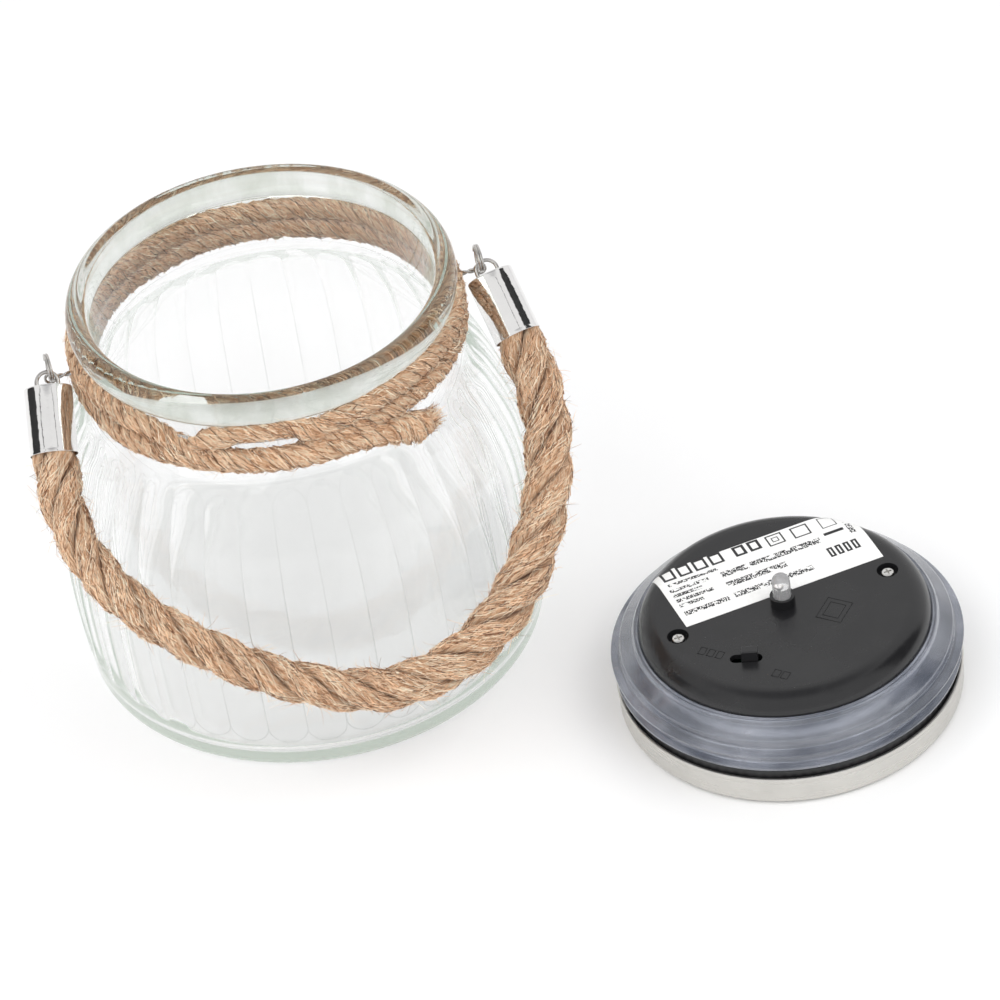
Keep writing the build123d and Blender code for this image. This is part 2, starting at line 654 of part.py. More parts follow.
# Corners of each lead's route in the lid's frame, chosen to clear the battery and the board.
LEADS = {
    "battery_leads": [
        [
            (CONTACT_X, 11.5, CONTACT_TOP_Z),
            (CONTACT_X, 11.5, 20.0),
            (17.0, 4.0, 20.3),
            (6.5, 2.5, 20.0),
            (6.5, 2.5, LEAD_TOP_Z),
        ],
        [
            (-CONTACT_X, 13.0, CONTACT_TOP_Z),
            (-CONTACT_X, 13.0, 19.8),
            (-23.5, 6.0, 20.2),
            (-22.5, 3.0, 20.0),
            (-22.5, 3.0, LEAD_TOP_Z),
        ],
    ],
    "panel_leads": [
        [(-6.0, -8.0, LEAD_START_Z), (-6.0, -8.0, 12.0), (-8.0, -10.0, 17.0), (-8.0, -10.0, LEAD_TOP_Z)],
        [(-3.0, -8.0, LEAD_START_Z), (-3.0, -8.0, 12.0), (-3.5, -11.0, 17.0), (-3.5, -11.0, LEAD_TOP_Z)],
    ],
}


def lead_path(corners):
    """Straight runs joined by tangent arcs, placed in the lid's frame."""
    points = [LID_PLANE.from_local_coords(Vector(*corner)) for corner in corners]
    with BuildLine() as lead_line:
        FilletPolyline(*points, radius=LEAD_BEND_R)
    return lead_line.wires()[0]


for lead_name, routes in LEADS.items():
    with BuildPart() as leads:
        for corners in routes:
            path = lead_path(corners)
            with BuildSketch(Plane(origin=path @ 0, z_dir=path % 0)):
                Circle(LEAD_R)
            sweep(path=path)
    save(leads, lead_name)
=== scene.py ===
import random
from math import atan2, cos, hypot, pi, radians, sin, tan, tanh

import bmesh
import bpy
from mathutils import Matrix, Vector, noise


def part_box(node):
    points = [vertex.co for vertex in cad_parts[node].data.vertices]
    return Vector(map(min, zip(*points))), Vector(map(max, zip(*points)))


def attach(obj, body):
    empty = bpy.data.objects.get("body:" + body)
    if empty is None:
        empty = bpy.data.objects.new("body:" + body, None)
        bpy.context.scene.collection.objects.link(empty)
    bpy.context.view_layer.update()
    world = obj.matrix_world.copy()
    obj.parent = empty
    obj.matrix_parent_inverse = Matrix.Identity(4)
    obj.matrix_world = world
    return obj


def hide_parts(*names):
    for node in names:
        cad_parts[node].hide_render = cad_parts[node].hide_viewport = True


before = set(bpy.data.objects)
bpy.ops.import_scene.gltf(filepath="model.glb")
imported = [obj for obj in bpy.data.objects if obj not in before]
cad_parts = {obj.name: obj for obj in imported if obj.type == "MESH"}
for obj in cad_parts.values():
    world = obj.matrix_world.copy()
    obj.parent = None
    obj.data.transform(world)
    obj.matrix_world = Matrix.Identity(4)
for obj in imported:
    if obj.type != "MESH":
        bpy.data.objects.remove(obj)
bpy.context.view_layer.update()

# Looks for a glass jar lantern: fluted glass, twisted jute, plated ferrules, and the solar lid
# lying upside down beside the jar. Lengths named here are millimetres; MM turns them into metres.

MM = 0.001
TURN = 2 * pi
rng = random.Random(7)  # all loose fibres draw from this one, in order


def middle(node):
    """Centre of a CAD node's box."""
    low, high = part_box(node)
    return (low + high) / 2


def add_object(name, data):
    made = bpy.data.objects.new(name, data)
    bpy.context.scene.collection.objects.link(made)
    return made


# ---- camera ----

CAMERA_DISTANCE = 1.6
CAMERA_ELEVATION = radians(40.4)
CAMERA_AZIMUTH = radians(7)  # the jar's handle is turned this far from facing the camera
CAMERA_YAW, CAMERA_PITCH, CAMERA_ROLL = -0.035, 0.014, 0.177
CAMERA_LENS = 204.5


def make_camera():
    """A long lens in front of and above the jar, with the lid in view on its right."""
    data = bpy.data.cameras.new("camera")
    data.lens = CAMERA_LENS
    data.clip_start, data.clip_end = 0.05, 20
    camera = add_object("camera", data)
    level = cos(CAMERA_ELEVATION) * CAMERA_DISTANCE
    height = sin(CAMERA_ELEVATION) * CAMERA_DISTANCE
    place = Vector((-level * sin(CAMERA_AZIMUTH), -level * cos(CAMERA_AZIMUTH), height))
    look = (-place).to_track_quat("-Z", "Y").to_matrix().to_4x4()
    aim = Matrix.Rotation(CAMERA_YAW, 4, "Y") @ Matrix.Rotation(CAMERA_PITCH, 4, "X")
    camera.matrix_world = Matrix.Translation(place) @ look @ aim @ Matrix.Rotation(-CAMERA_ROLL, 4, "Z")
    bpy.context.scene.camera = camera


make_camera()

# ---- materials ----


class Nodes:
    """Short calls that add nodes to a tree."""

    def __init__(self, tree):
        self.tree = tree

    def node(self, kind, sockets=None, **attributes):
        """Adds a node. A socket's value is another node's output or a plain value."""
        made = self.tree.nodes.new("ShaderNode" + kind)
        for name, value in attributes.items():
            setattr(made, name, value)
        for socket, value in (sockets or {}).items():
            if isinstance(value, bpy.types.NodeSocket):
                self.tree.links.new(value, made.inputs[socket])
            else:
                made.inputs[socket].default_value = value
        return made

    def ramp(self, value, *stops):
        """Colours by value: each stop is (position, colour)."""
        made = self.node("ValToRGB", {"Fac": value})
        while len(made.color_ramp.elements) < len(stops):
            made.color_ramp.elements.new(0.5)
        for element, (position, colour) in zip(made.color_ramp.elements, stops):
            element.position = position
            element.color = (*colour, 1)
        return made.outputs["Color"]


class Finish(Nodes):
    """A material: a Principled shader, and the nodes in front of it."""

    def __init__(self, name, **sockets):
        self.material = bpy.data.materials.new(name)
        self.material.use_nodes = True
        super().__init__(self.material.node_tree)
        self.shader = self.tree.nodes["Principled BSDF"]
        self.output = self.tree.nodes["Material Output"]
        for socket, value in sockets.items():
            self.shader.inputs[socket.replace("_", " ")].default_value = value

    def link(self, value, socket="Base Color"):
        self.tree.links.new(value, self.shader.inputs[socket])

    def place(self, stretch=(1, 1, 1)):
        """The piece's own coordinates, scaled along each axis."""
        return self.scaled(self.node("TexCoord").outputs["Object"], stretch)

    def scaled(self, where, stretch):
        return self.node("Mapping", {"Vector": where, "Scale": stretch}).outputs[0]

    def attribute(self, name, output="Fac"):
        """What a piece stores for each of its points."""
        return self.node("Attribute", attribute_name=name).outputs[output]

    def grain(self, where, scale, detail, roughness=0.55):
        sockets = {"Vector": where, "Scale": scale, "Detail": detail, "Roughness": roughness}
        return self.node("TexNoise", sockets).outputs["Fac"]

    def spread(self, value, low, high, from_low=0.3, from_high=0.7):
        """Maps a grain to the range low to high."""
        sockets = {"Value": value, "From Min": from_low, "From Max": from_high, "To Min": low, "To Max": high}
        return self.node("MapRange", sockets).outputs["Result"]

    def maths(self, operation, *values):
        return self.node("Math", dict(enumerate(values)), operation=operation).outputs[0]

    def mix(self, share, first, second):
        """A blend of two colours. The node keeps its colour sockets at 6 and 7, and their result at 2."""
        return self.node("Mix", {0: share, 6: first, 7: second}, data_type="RGBA").outputs[2]

    def bump(self, height, distance):
        made = self.node("Bump", {"Height": height, "Distance": distance, "Strength": 1.0})
        self.link(made.outputs[0], "Normal")

    def pass_through(self, share, colour):
        """Lets a share of the rays straight through the surface, tinted by a colour."""
        clear = self.node("BsdfTransparent", {"Color": colour}).outputs[0]
        both = self.node("MixShader", {0: share, 1: self.shader.outputs[0], 2: clear})
        self.tree.links.new(both.outputs[0], self.output.inputs["Surface"])


BEAD_SHADE_Z = (0.1085, 0.1115)  # metres: the bead's patches of painted shade fade in between these heights
RIDGE_SHADE_FADE_Z = (0.06, 0.082)  # metres: the painted lines of shade on the ridges turn fainter between these
RIDGE_HALF_WIDTH = 0.11  # where a ridge's painted line of shade ends, in parts of a flute's depth
FREE_BOUNCES = 3.5  # reflections after which a ray counts as trapped in the glass


def glass_finish():
    """Clear soda glass: painted grey-green shade in patches in its bead, painted lines of shade on its
    ridges, no dark shadow.
    """
    f = Finish("glass_clear", Base_Color=(1, 1, 1, 1), IOR=1.5, Roughness=0.0, Transmission_Weight=1.0)
    f.bump(f.grain(f.place(), 90, 2), 0.00002)
    height = f.node("SeparateXYZ", {"Vector": f.place()}).outputs["Z"]
    # Painted shade: grey-green patches darken the bead, as long paths of light through it would.
    patches = f.spread(f.grain(f.place((1, 1, 0.6)), 75, 5, 0.6), 0.35, 1.0, 0.40, 0.60)
    bead_painted_shade = f.maths("MULTIPLY", f.spread(height, 0.0, 1.0, *BEAD_SHADE_Z), patches)
    tint = f.mix(bead_painted_shade, (1, 1, 1, 1), (0.69, 0.72, 0.66, 1))
    # Painted shade: darker lines along the flute ridges, stronger low on the jar, fainter above its belly,
    # and varying with the same patches.
    ridge = f.maths("ABSOLUTE", f.attribute("ridge"))
    ridge_shade_strength = f.maths("MULTIPLY", f.spread(height, 0.7, 0.2, *RIDGE_SHADE_FADE_Z), f.spread(patches, 0.5, 1.0))
    line = f.maths("MULTIPLY", f.spread(ridge, 1.0, 0.0, 0.0, RIDGE_HALF_WIDTH), ridge_shade_strength)
    f.link(f.mix(line, tint, (0.60, 0.62, 0.60, 1)))
    volume = f.node("VolumeAbsorption", {"Color": (0.56, 0.60, 0.55, 1), "Density": 13})
    f.tree.links.new(volume.outputs[0], f.output.inputs["Volume"])
    # A trapped ray would come back black. It goes straight on instead, and so does light for shadows.
    path = f.node("LightPath")
    trapped = f.maths("GREATER_THAN", path.outputs["Glossy Depth"], FREE_BOUNCES)
    dim = f.mix(trapped, (0.955, 0.957, 0.955, 1), (0.925, 0.943, 0.925, 1))
    f.pass_through(f.maths("MAXIMUM", path.outputs["Is Shadow Ray"], trapped), dim)
    return f.material


def jute_finish():
    """Bundles of fine fibres: streaks along the yarns, pale crests, and painted shade darkening the crevices
    between the strands.
    """
    f = Finish("jute", Roughness=0.85, Sheen_Weight=0.15, Sheen_Roughness=0.5, Specular_IOR_Level=0.25)
    fibre = f.attribute("fibre", "Vector")
    streaks = f.grain(f.scaled(fibre, (0.5, 4.5, 1)), 1.0, 6, 0.75)
    bundles = f.grain(f.scaled(fibre, (0.16, 1.0, 1)), 1.0, 3)
    patches = f.grain(f.place(), 90, 4)
    brown = f.ramp(
        f.maths("ADD", f.maths("MULTIPLY", streaks, 0.65), f.maths("MULTIPLY", bundles, 0.35)),
        (0.36, (0.13, 0.042, 0.015)),
        (0.42, (0.40, 0.18, 0.08)),
        (0.49, (0.92, 0.56, 0.33)),
        (0.57, (1.0, 0.85, 0.63)),
    )
    warm = f.mix(f.spread(patches, 0.0, 0.4), brown, (0.68, 0.36, 0.18, 1))
    # Painted shade: the strands darken where crest is low, in the crevices between them.
    crevice_painted_shade = f.spread(f.attribute("crest"), 0.9, 0.0, 0.36, 0.70)
    f.link(f.mix(crevice_painted_shade, warm, (0.11, 0.036, 0.014, 1)))
    f.bump(streaks, 0.0012)
    return f.material


def fibre_finish():
    """Single fibres, each with its own shade, mottled along its length."""
    f = Finish("jute_fibre", Roughness=0.7, Sheen_Weight=0.2)
    mottle = f.spread(f.grain(f.place(), 700, 2), -0.12, 0.12)
    colour = f.ramp(
        f.maths("ADD", f.attribute("shade"), mottle),
        (0.0, (0.13, 0.045, 0.016)),
        (0.2, (0.44, 0.21, 0.095)),
        (0.45, (0.97, 0.63, 0.39)),
        (1.0, (1.0, 0.90, 0.71)),
    )
    f.link(colour)
    return f.material


def metal_finish(name, colour, roughness, scratch=0.00001, stretch=(1, 1, 1), scale=500):
    """Plated or bare metal: uneven polish and fine marks."""
    f = Finish(name, Metallic=1.0)
    marks = f.grain(f.place(stretch), scale, 5, 0.6)
    clouds = f.grain(f.place(), 120, 3)
    dull = [c * 0.86 for c in colour]
    f.link(f.mix(f.spread(clouds, 0.0, 0.5), (*colour, 1), (*dull, 1)))
    f.link(f.spread(marks, roughness * 0.7, roughness * 1.5), "Roughness")
    f.bump(f.maths("ADD", marks, f.maths("MULTIPLY", clouds, 1.5)), scratch)
    return f.material


def plastic_finish(name, colour, roughness, grain_scale=900, depth=0.00002, wear=0.12):
    """Moulded plastic: fine grain, dust and rubbed patches."""
    f = Finish(name)
    patch = f.grain(f.place(), 45, 5, 0.65)
    pale = tuple(min(1.0, c + wear * (0.4 + c)) for c in colour)
    f.link(f.mix(f.spread(patch, 0.0, 0.7, 0.45, 0.8), (*colour, 1), (*pale, 1)))
    f.link(f.spread(patch, roughness * 0.8, roughness * 1.35), "Roughness")
    f.bump(f.grain(f.place(), grain_scale, 3), depth)
    return f.material


def seal_finish():
    """Milky soft plastic: dark parts show through it, and it catches light on its edges."""
    f = Finish("soft_seal", Roughness=0.16, IOR=1.45, Coat_Weight=0.8, Coat_Roughness=0.08)
    haze = f.grain(f.place((1, 1, 3)), 45, 4)
    f.link(f.ramp(haze, (0.35, (0.22, 0.24, 0.29)), (0.65, (0.46, 0.48, 0.54))))
    f.link(f.spread(haze, 0.80, 0.60), "Transmission Weight")
    f.bump(f.grain(f.place(), 260, 3), 0.00005)
    f.pass_through(f.node("LightPath").outputs["Is Shadow Ray"], (0.6, 0.62, 0.66, 1))
    return f.material


# Printed rows and frames on the label, from its corner: low x, high x, low y, high y, and a frame's line.
LABEL_ROWS = [
    (16.9, 46.5, 13.7, 15.9), (16.6, 34.3, 9.2, 11.4), (16.7, 40.1, 4.4, 6.4), (2.3, 17.0, 17.2, 18.3),
    (1.8, 13.2, 14.6, 15.9), (1.8, 10.5, 12.4, 13.7), (1.8, 12.7, 10.2, 11.5), (1.8, 8.9, 8.0, 9.3),
    (1.8, 15.0, 4.2, 6.0), (55.0, 56.6, 13.0, 19.0),
]
LABEL_MARKS = [
    *[(2.0 + 4.8 * k, 5.8 + 4.8 * k, 19.6, 24.0, 0.7) for k in range(4)],
    (23.6, 27.0, 19.6, 23.8, 0.8), (28.0, 31.4, 19.6, 23.8, 0.8), (33.4, 38.2, 18.9, 23.4, 0.45),
    (34.8, 36.8, 20.2, 22.1, 0.3), (40.8, 45.8, 18.6, 23.2, 0.45), (49.0, 53.4, 18.6, 23.4, 0.3),
    (48.2, 54.0, 15.6, 16.7, 0.6),
    *[(46.2 + 2.4 * k, 47.9 + 2.4 * k, 6.6, 10.6, 0.62) for k in range(4)],
]


def label_finish(place, angle):
    """White printed paper: rows of grey strokes and plain frames in place of words and marks."""
    f = Finish("label_paper", Roughness=0.42)
    source = f.node("TexCoord").outputs["Object"]
    sockets = {"Vector": source, "Location": place, "Rotation": (0, 0, angle), "Scale": (MM, MM, MM)}
    paper = f.node("Mapping", sockets, vector_type="TEXTURE").outputs[0]
    axes = f.node("SeparateXYZ", {"Vector": paper})
    x, y = axes.outputs["X"], axes.outputs["Y"]

    def inside(low_x, high_x, low_y, high_y):
        across = f.maths("COMPARE", x, (low_x + high_x) / 2, (high_x - low_x) / 2)
        up = f.maths("COMPARE", y, (low_y + high_y) / 2, (high_y - low_y) / 2)
        return f.maths("MULTIPLY", across, up)

    def frame_mark(low_x, high_x, low_y, high_y, line):
        hole = inside(low_x + line, high_x - line, low_y + line, high_y - line)
        return f.maths("SUBTRACT", inside(low_x, high_x, low_y, high_y), hole)

    strokes = f.maths("GREATER_THAN", f.grain(f.scaled(paper, (2.9, 1.2, 0)), 1.0, 1), 0.46)
    words = f.maths("GREATER_THAN", f.grain(f.scaled(paper, (0.42, 0.9, 0)), 1.0, 0), 0.36)
    print_mask = f.maths("MULTIPLY", strokes, words)
    ink = 0.0
    for row in LABEL_ROWS:
        ink = f.maths("MAXIMUM", ink, f.maths("MULTIPLY", inside(*row), print_mask))
    for mark in LABEL_MARKS:
        ink = f.maths("MAXIMUM", ink, frame_mark(*mark))
    fleck = f.grain(f.place(), 900, 2)
    white = f.ramp(fleck, (0.3, (0.84, 0.84, 0.83)), (0.7, (0.90, 0.90, 0.89)))
    f.link(f.mix(ink, white, (0.012, 0.012, 0.014, 1)))
    f.bump(fleck, 0.00001)
    return f.material


def floor_finish():
    """Matt white board, very slightly uneven."""
    f = Finish("floor_white", Roughness=0.6, Specular_IOR_Level=0.2)
    clouds = f.grain(f.place(), 3, 2)
    f.link(f.ramp(clouds, (0.3, (0.90, 0.90, 0.905)), (0.7, (0.92, 0.92, 0.92))))
    return f.material


def clear_finish(name, tint, roughness, clearness=1.0):
    """Clear plastic with faint swirls."""
    f = Finish(name, IOR=1.5, Transmission_Weight=clearness)
    swirl = f.grain(f.place(), 400, 2)
    f.link(f.ramp(swirl, (0.3, tuple(0.94 * c for c in tint)), (0.7, tint)))
    f.link(f.spread(swirl, roughness * 0.5, roughness * 1.5), "Roughness")
    f.bump(swirl, 0.00002)
    return f.material


def solar_finish():
    """Dark blue cells with fine silver lines."""
    f = Finish("solar_cells", Coat_Weight=1.0, Coat_Roughness=0.05)
    sockets = {
        "Vector": f.place((1 / MM, 1 / MM, 0)),
        "Color1": (0.008, 0.012, 0.05, 1),
        "Color2": (0.012, 0.016, 0.07, 1),
        "Mortar": (0.45, 0.46, 0.50, 1),
        "Scale": 1.0,
        "Mortar Size": 0.12,
        "Brick Width": 9.8,
        "Row Height": 3.2,
    }
    cells = f.node("TexBrick", sockets, offset=0.0).outputs["Color"]
    sparkle = f.grain(f.place(), 600, 3)
    f.link(f.mix(f.spread(sparkle, 0.0, 0.25), cells, (0.03, 0.05, 0.16, 1)))
    f.link(f.spread(sparkle, 0.15, 0.3), "Roughness")
    return f.material


GLASS = glass_finish()
LED_CLEAR = clear_finish("led_epoxy", (0.97, 0.97, 0.98), 0.05, 0.75)
WINDOW = clear_finish("window_clear", (0.96, 0.98, 0.98), 0.04)
SOLAR = solar_finish()
JUTE = jute_finish()
FIBRE = fibre_finish()
CHROME = metal_finish("ferrule_chrome", (0.88, 0.87, 0.86), 0.05, 0.00006, scale=260)
WIRE = metal_finish("bright_wire", (0.62, 0.60, 0.58), 0.10, 0.00002)
STEEL = metal_finish("satin_steel", (0.67, 0.655, 0.62), 0.30, 0.00002, (0.15, 0.15, 6), 300)
SCREW = metal_finish("screw_nickel", (0.72, 0.71, 0.69), 0.22)
BRASS = metal_finish("contact_plate", (0.75, 0.66, 0.42), 0.3)
BLACK_GLOSS = plastic_finish("housing_black", (0.010, 0.010, 0.011), 0.24, 300, 0.00003, 0.03)
BLACK_MATTE = plastic_finish("liner_black", (0.012, 0.012, 0.013), 0.45)
CARD = plastic_finish("studio_card", (0.015, 0.015, 0.016), 0.8)
GREEN_BOARD = plastic_finish("board_green", (0.02, 0.16, 0.07), 0.35, 500, 0.00002, 0.05)
CELL_SLEEVE = plastic_finish("cell_sleeve", (0.05, 0.22, 0.10), 0.25, 300, 0.00001, 0.03)
LEAD = plastic_finish("lead_red", (0.45, 0.02, 0.02), 0.4, 500, 0.00001, 0.05)
SEAL = seal_finish()

# ---- making meshes ----


def make_piece(name, points, faces, material, body, sharp_angle=40):
    """A smooth-shaded mesh from points in millimetres, riding on a body."""
    mesh = bpy.data.meshes.new(name)
    mesh.from_pydata([Vector(p) * MM for p in points], [], faces)
    mesh.polygons.foreach_set("use_smooth", [True] * len(mesh.polygons))
    mesh.set_sharp_from_angle(angle=radians(sharp_angle))
    mesh.materials.append(material)
    mesh.update()
    piece = add_object(name, mesh)
    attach(piece, body)
    return piece


def add_attribute(piece, name, kind, values):
    """Stores one number or one vector for each point, for the material to read."""
    attribute = piece.data.attributes.new(name, kind, "POINT")
    flat = [x for v in values for x in v] if kind == "FLOAT_VECTOR" else values
    attribute.data.foreach_set("vector" if kind == "FLOAT_VECTOR" else "value", flat)


CORNER_STEPS = 5


def rounded(outline, closed=True):
    """An outline whose corners (x, y, radius) are replaced by arcs. A corner without radius stays."""
    corners = [(Vector(c[:2]), c[2] if len(c) > 2 else 0.0) for c in outline]
    points = []
    for i, (corner, radius) in enumerate(corners):
        at_end = not closed and i in (0, len(corners) - 1)
        if radius == 0 or at_end:
            points.append(corner)
            continue
        before = (corners[i - 1][0] - corner).normalized()
        after = (corners[(i + 1) % len(corners)][0] - corner).normalized()
        half = before.angle(after) / 2
        centre = corner + (before + after).normalized() * (radius / sin(half))
        start = corner + before * (radius / tan(half)) - centre
        turn = start.angle_signed(corner + after * (radius / tan(half)) - centre)
        for k in range(CORNER_STEPS + 1):
            points.append(centre + Matrix.Rotation(-turn * k / CORNER_STEPS, 2) @ start)
    return points


def turned_faces(columns, count, closed):
    """The faces between columns of count points each, all the way round."""
    faces = []
    for k in range(columns):
        here, there = k * count, (k + 1) % columns * count
        for i in range(count if closed else count - 1):
            j = (i + 1) % count
            faces.append((here + i, there + i, there + j, here + j))
    return faces


def lathe(name, outline, material, body, place, columns, ripple=None, closed=True):
    """Turns an outline of (radius, height) about the vertical. ripple gives a point its own radius."""
    points = []
    for k in range(columns):
        angle = TURN * k / columns
        for radius, height in outline:
            if ripple:
                radius = ripple(radius, height, k)
            points.append(place @ Vector((radius * cos(angle), radius * sin(angle), height)))
    piece = make_piece(name, points, turned_faces(columns, len(outline), closed), material, body)
    close_poles(piece)
    return piece


def close_poles(piece):
    """Merges the points that meet on the axis and drops the faces that vanish there."""
    work = bmesh.new()
    work.from_mesh(piece.data)
    bmesh.ops.remove_doubles(work, verts=work.verts, dist=1e-7)
    bmesh.ops.dissolve_degenerate(work, edges=work.edges, dist=1e-8)
    bmesh.ops.recalc_face_normals(work, faces=work.faces)
    work.to_mesh(piece.data)
    work.free()


# ---- jute: rope strands and loose fibres along a line of frames ----


def route_samples(points, step):
    """Even samples of the smooth NURBS line through a cord's route, in millimetres."""
    data = bpy.data.curves.new("route", "CURVE")
    data.dimensions = "3D"
    data.resolution_u = 24
    spline = data.splines.new("NURBS")
    spline.points.add(len(points) - 1)
    for target, point in zip(spline.points, points):
        target.co = (*point, 1)
    spline.order_u = 3
    spline.use_endpoint_u = True
    line = add_object("route", data)
    bpy.context.view_layer.update()
    mesh = bpy.data.meshes.new_from_object(line.evaluated_get(bpy.context.evaluated_depsgraph_get()))
    fine = [v.co / MM for v in mesh.vertices]
    bpy.data.objects.remove(line)
    bpy.data.meshes.remove(mesh)
    return even(fine, step)


def even(fine, step):
    """Points a step apart along a line of closely spaced points."""
    lengths = [0.0]
    for a, b in zip(fine, fine[1:]):
        lengths.append(lengths[-1] + (b - a).length)
    count = round(lengths[-1] / step)
    samples, i = [], 0
    for k in range(count + 1):
        target = lengths[-1] * k / count
        while i < len(fine) - 2 and lengths[i + 1] < target:
            i += 1
        share = (target - lengths[i]) / max(lengths[i + 1] - lengths[i], 1e-9)
        samples.append(fine[i].lerp(fine[i + 1], min(1.0, share)))
    return samples


STRANDS = 3
YARN_LAY = 1.1  # how long the yarns' turn is, as a share of the strands' lay
HAIR_SHARES = (0, 0.25, 0.5, 0.75, 1)  # where a loose fibre's points are along it


def any_way():
    """A random vector, at most 1 along each axis."""
    return Vector([rng.uniform(-1, 1) for _ in range(3)])


class Rope:
    """A Z-laid rope: frames along its line and the surface of each of its strands."""

    def __init__(self, line, sides, radius, lay, swell, cap=None, flat=1.0, seed=0.0, core=0.47, body=0.56):
        """sides are unit vectors across the line, one for each sample; flat squeezes the rope along them.
        core is how far a strand's middle is from the line, and body its radius, as shares of radius.
        swell and cap scale and limit the rope's radius by the share of its length."""
        self.line, self.last = line, len(line) - 2
        self.step = (line[1] - line[0]).length
        self.radius, self.lay, self.flat, self.seed = radius, lay, flat, seed
        self.core, self.body = core * radius, body * radius
        self.swell, self.cap = swell, cap or (lambda share: 2 * radius)
        self.sides, self.crosses = [], []
        for k, side in enumerate(sides):
            ahead = (line[min(k + 1, len(line) - 1)] - line[max(k - 1, 0)]).normalized()
            across = (side - ahead * side.dot(ahead)).normalized()
            self.sides.append(across)
            self.crosses.append(ahead.cross(across))

    def yarn_turn(self, s, around):
        """The angle of a point in its own yarn, s along the rope."""
        return around + TURN * s / (self.lay * YARN_LAY)

    def surface(self, k, strand, around, lift=0.0):
        """A point of a strand's surface at sample k. around is 0 at its outermost line."""
        k_low = min(int(k), self.last)
        share = k - k_low
        s = k * self.step
        turn = TURN * (s / self.lay + strand / STRANDS)
        yarn = self.yarn_turn(s, around)
        own = strand * 9 + self.seed
        patch = noise.noise(Vector((s * 0.12, own, around)))
        bumps = (0.09 + 0.08 * patch) * (abs(cos(3.0 * yarn + 2 * patch)) - 0.6)
        rough = 0.12 * noise.noise(Vector((s * 0.2, own, around * 1.5)))
        rough += 0.08 * noise.noise(Vector((s * 0.6, own, yarn * 2.5)))
        wide = self.body * (1 + bumps + rough) + lift
        x = self.core + wide * cos(around)
        y = wide * 1.12 * sin(around)
        limit = pi / STRANDS - 0.02  # a strand keeps to its own third of the rope
        reach, bearing = hypot(x, y), atan2(y, x)
        bearing = max(-limit, min(limit, bearing))
        along = k / (len(self.line) - 1)
        size = min(self.cap(along), self.swell(along) * reach)
        a, b = size * cos(bearing + turn), size * sin(bearing + turn)
        centre = self.line[k_low].lerp(self.line[k_low + 1], share)
        return centre + self.sides[k_low] * (a * self.flat) + self.crosses[k_low] * b

    def build(self, name, body, columns=36):
        """The strands as one mesh, with the yarn's own coordinates for its material."""
        points, faces, fibre, crest = [], [], [], []
        rings = len(self.line)
        for strand in range(STRANDS):
            base = len(points)
            for k in range(rings):
                s = k * self.step
                for c in range(columns):
                    around = TURN * c / columns - pi
                    points.append(self.surface(k, strand, around))
                    yarn = self.yarn_turn(s, around)
                    fibre.append((s, yarn * self.radius * 0.56, strand * 17.0 + self.seed))
                    # crest is 1 on a strand's outermost line and falls to 0 towards the rope's middle; the
                    # material paints shade where it is low.
                    crest.append(max(0.0, cos(around * 0.62)))
            for k in range(rings - 1):
                for c in range(columns):
                    d = (c + 1) % columns
                    a, b = base + k * columns, base + (k + 1) * columns
                    faces.append((a + c, b + c, b + d, a + d)[::-1])
            faces.append(tuple(base + c for c in range(columns)))
            faces.append(tuple(base + (rings - 1) * columns + c for c in range(columns))[::-1])
        piece = make_piece(name, points, faces, JUTE, body, 80)
        add_attribute(piece, "fibre", "FLOAT_VECTOR", fibre)
        add_attribute(piece, "crest", "FLOAT", crest)
        return piece

    def fibres(self, name, body, lying, stray, reach, bare=0.0):
        """Loose fibres: some lie along the yarns with their ends lifted, some stand off by up to
        reach. A length of bare at each end of the rope has none."""
        hairs = []
        first, last = bare / self.step, self.last - bare / self.step
        for i in range(lying + stray):
            standing = i >= lying
            strand = rng.randrange(STRANDS)
            facing = 1.9 if standing else 1.3
            around = rng.uniform(-facing, facing)
            start = rng.uniform(first, last)
            length = rng.uniform(1.5, 5.0) if standing else rng.uniform(3, 9)
            slip = rng.uniform(-0.6, 1.6)
            height = rng.uniform(0.4, 1.0) * reach if standing else rng.uniform(0.15, 0.55)
            bend = any_way() * height * 1.1
            curl = rng.uniform(-0.35, 0.35)
            way = rng.choice((-1, 1))
            path = []
            for t in HAIR_SHARES:
                along = way * length * t
                k = start + along / self.step
                if not first <= k <= last:
                    break
                turned = around - slip * TURN * along / self.lay + curl * sin(pi * t)
                lift = height * t**1.6 if standing else height * (0.25 + 0.75 * abs(2 * t - 1) ** 2)
                point = self.surface(k, strand, turned, lift)
                path.append(point + bend * t * t if standing else point)
            if len(path) > 2:
                thickness = rng.uniform(0.06, 0.10) if standing else rng.uniform(0.08, 0.17)
                hairs.append((path, thickness, rng.random()))
        return make_hairs(name, body, hairs)

    def frayed_end(self, name, body, count, length):
        """Loose fibres that carry on past the end of the rope and splay."""
        hairs = []
        ahead = (self.line[-1] - self.line[-3]).normalized()
        for _ in range(count):
            strand, around = rng.randrange(STRANDS), rng.uniform(-pi, pi)
            k = self.last - rng.uniform(0, 3)
            start = self.surface(k, strand, around, -rng.uniform(0.0, 0.9) * self.body)
            out = (start - self.line[-1]) * rng.uniform(0.1, 0.5)
            long = rng.uniform(0.4, 1.0) * length
            turn = any_way() * 0.35
            path = [start + (ahead * t + (out / length + turn * t) * t) * long for t in HAIR_SHARES]
            hairs.append((path, rng.uniform(0.09, 0.16), rng.random()))
        return make_hairs(name, body, hairs)


def make_hairs(name, body, hairs):
    """One mesh of loose fibres. Each is a path, a thickness and a shade."""
    points, faces, shades = [], [], []
    for path, thickness, shade in hairs:
        add_hair(points, faces, path, thickness)
        shades += [shade] * (len(points) - len(shades))
    piece = make_piece(name, points, faces, FIBRE, body, 180)
    add_attribute(piece, "shade", "FLOAT", shades)
    return piece


